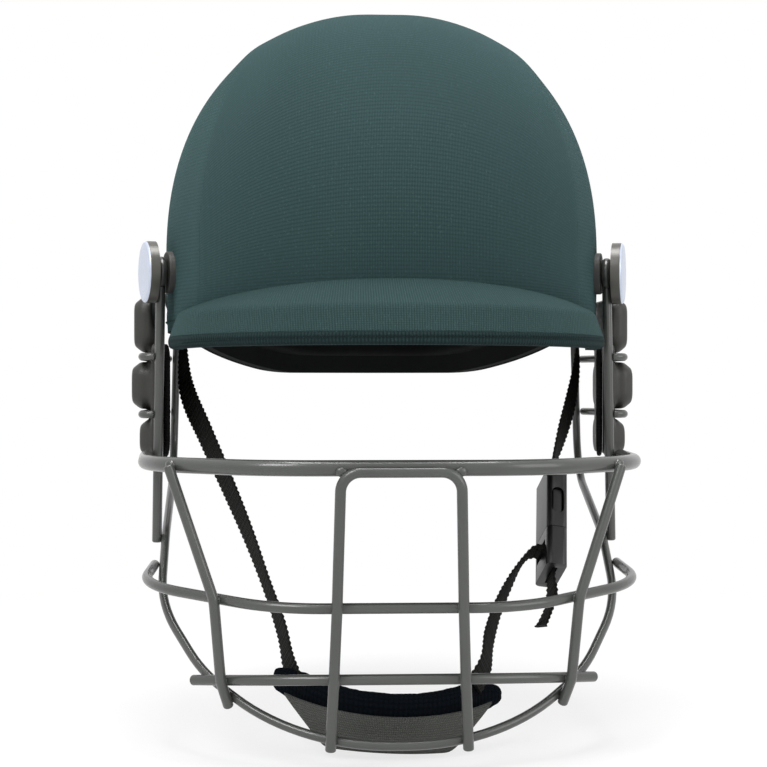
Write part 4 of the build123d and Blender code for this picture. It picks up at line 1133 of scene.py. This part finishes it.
def webbing(name, route, across, node, body, slant=0.0):
    """Ribbed webbing along a route in millimetres."""
    line, widths, step = even_line(smooth_through(route), smooth_through(across), RIB_PITCH / ROWS_PER_RIB)
    section = web_section()
    rows, uv = [], []
    for i, here in enumerate(line):
        ahead = (line[min(i + 1, len(line) - 1)] - line[max(i - 1, 0)]).normalized()
        wide = (widths[i] - ahead * widths[i].dot(ahead)).normalized()
        flat = ahead.cross(wide)
        rib = math.cos(2 * math.pi * i / ROWS_PER_RIB)
        left = min(1.0, (len(line) - 1 - i) * step / (WEB_WIDTH * abs(slant))) if slant else 1.0
        width = WEB_WIDTH - EDGE_WAVE + EDGE_WAVE * rib
        thick = WEB_THICK - FACE_WAVE + FACE_WAVE * rib
        row, line_uv = [], []
        for x, y in section:
            lean = (1 - left) * slant * WEB_WIDTH * (x + 0.5)
            row.append((here + wide * x * width + flat * y * thick - ahead * lean) * MM)
        for x, y in section + section[:1]:
            line_uv.append((x * WEB_WIDTH * MM + 0.03 * (y < 0), i * step * MM))
        rows.append(row)
        uv.append(line_uv)
    piece = grid(name, rows, webbing_cloth, wrap=True, uv=uv)
    close_ends(piece)
    piece.data.polygons.foreach_set("use_smooth", [len(p.vertices) == 4 for p in piece.data.polygons])
    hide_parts(node)
    if body:
        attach(piece, body)
    print(name, len(piece.data.polygons), "faces")
    return piece


# %% Left strap, right straps and tail
left_route = [(-94.6, 6.0, -110.0), (-94.6, 6.0, -118.0), (-94.6, 6.0, -125.9), (-92.3, -7.1, -151.3),
              (-82.3, -23.8, -173.6),
              (-71.8, -37.8, -195.8), (-61.8, -51.8, -218.1), (-53.7, -64.9, -238.7), (-47.3, -77.9, -256.2),
              (-44.4, -87.3, -268.9), (-41.2, -93.6, -276.9)]
left_across = [(0.0, 1.0, 0.0), (0.0, 1.0, 0.0), (-0.2, 0.93, -0.3), (-0.45, 0.75, -0.48), (-0.4, 0.7, -0.6),
               (-0.32, 0.73, -0.61), (-0.23, 0.78, -0.59), (-0.15, 0.79, -0.59), (-0.22, 0.76, -0.61),
               (-0.29, 0.73, -0.62), (-0.3, 0.68, -0.67)]
webbing("left_webbing", left_route, left_across, "left_strap", "chin_strap")
upper_route = [(94.6, 6.0, -110.0), (94.6, 6.0, -121.8), (94.5, 0.7, -133.7), (92.5, -6.2, -146.4),
               (88.2, -15.2, -160.6), (82.5, -25.0, -174.9), (76.8, -34.8, -189.1), (76.3, -38.0, -194.2),
               (75.8, -41.1, -198.9)]
upper_across = [(0.0, 1.0, 0.0), (0.0, 0.98, -0.22), (0.2, 0.88, -0.43), (0.32, 0.8, -0.5),
                (0.38, 0.75, -0.54), (0.3, 0.78, -0.55), (0.02, 0.86, -0.51), (-0.12, 0.84, -0.53),
                (-0.12, 0.84, -0.53)]
webbing("right_upper_webbing", upper_route, upper_across, "right_upper_strap", "chin_strap")
lower_route = [(73.1, -58.4, -226.1), (65.3, -58.8, -225.0), (60.1, -62.0, -228.5), (53.6, -68.5, -237.3),
               (47.0, -77.5, -247.9), (41.8, -88.8, -259.3), (39.2, -99.4, -268.9), (34.1, -104.5, -276.9)]
lower_across = [(-0.12, 0.84, -0.53), (-0.12, 0.84, -0.53), (-0.11, 0.85, -0.51), (0.08, 0.79, -0.61),
                (0.19, 0.71, -0.68), (0.3, 0.65, -0.7), (0.34, 0.65, -0.68), (0.4, 0.62, -0.67)]
lower_webbing = webbing("right_lower_webbing", lower_route, lower_across, "right_lower_strap", None)
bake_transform(lower_webbing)
tail_route = [(72.7, -61.1, -230.3), (71.9, -66.1, -238.2), (71.1, -71.2, -246.2), (64.0, -82.0, -257.8)]
tail_across = [(-0.12, 0.84, -0.53), (-0.12, 0.84, -0.53), (-0.3, 0.74, -0.6), (-0.5, 0.6, -0.62)]
webbing("tail_webbing", tail_route, tail_across, "strap_tail", "buckle_plug", slant=0.45)

# %% [markdown]
# ## Weld beads
# Each place where wires meet has a small smooth bead of metal. They come from the
# same tree, on very short paths that reach from one wire's middle to the next.

# %% Weld beads
BEAD_PITCH = 1.6
hoop_leg = [(-27.2, -142.4, -285.0), (-26.3, -143.6, -268.5), (-25.2, -147.3, -239.5),
            (-23.8, -153.3, -184.8)]
outer_leg = [(-71.9, -124.4, -271.2), (-74.6, -127.7, -237.7), (-93.4, -119.7, -183.4)]
weld_points = []
for leg in (hoop_leg, outer_leg):
    for x, y, z in leg:
        for side in (1, -1):
            inward = Vector((-x * 0.35, -y - 60, 0)).normalized() * BEAD_PITCH
            start = Vector((x, y, z)) + inward
            end = start + inward
            weld_points.append([Vector((side * p.x, p.y, p.z)) * MM for p in (start, end)])
beads("weld_beads", weld_points, wire_paint, "face_guard", "wire_paint",
      Spacing=BEAD_PITCH * MM, Length=0.0022, Width=0.0052, Height=0.0044)

# %% [markdown]
# ## Floor
# The floor is pale and catches a soft shadow. To the camera and to reflections it
# fades into the white of the world.

# %% Floor
FLOOR_Z, FLOOR_HALF = solid_low.z - 4 * MM, 6.0
FADE_START, FADE_END, WHITE_UNDER = 0.33, 0.62, 0.75
floor_mesh = bpy.data.meshes.new("floor")
corners = [(x * FLOOR_HALF, y * FLOOR_HALF, FLOOR_Z) for x, y in ((-1, -1), (1, -1), (1, 1), (-1, 1))]
floor_mesh.from_pydata(corners, [], [(0, 1, 2, 3)])
floor_material, tree, floor_shader = new_material("floor")
floor_shader.inputs["Base Color"].default_value = (0.93, 0.93, 0.93, 1)
floor_shader.inputs["Roughness"].default_value = 0.9
white = tree.nodes.new("ShaderNodeEmission")
blend = tree.nodes.new("ShaderNodeMixShader")
reach = vector_math(tree, "LENGTH", tree.nodes.new("ShaderNodeTexCoord").outputs["Object"])
ramp = tree.nodes.new("ShaderNodeMapRange")
ramp.interpolation_type = "SMOOTHSTEP"
tree.links.new(reach.outputs["Value"], ramp.inputs["Value"])
for label, value in (("From Min", FADE_START), ("From Max", FADE_END), ("To Min", WHITE_UNDER)):
    ramp.inputs[label].default_value = value
path = tree.nodes.new("ShaderNodeLightPath")
share = math_node(tree, "MULTIPLY", ramp.outputs["Result"], sees_white(tree, path))
tree.links.new(share, blend.inputs[0])
tree.links.new(floor_shader.outputs[0], blend.inputs[1])
tree.links.new(white.outputs[0], blend.inputs[2])
tree.links.new(blend.outputs[0], tree.nodes["Material Output"].inputs["Surface"])
floor = link("floor", floor_mesh, floor_material)
print("floor at", round(FLOOR_Z, 4))
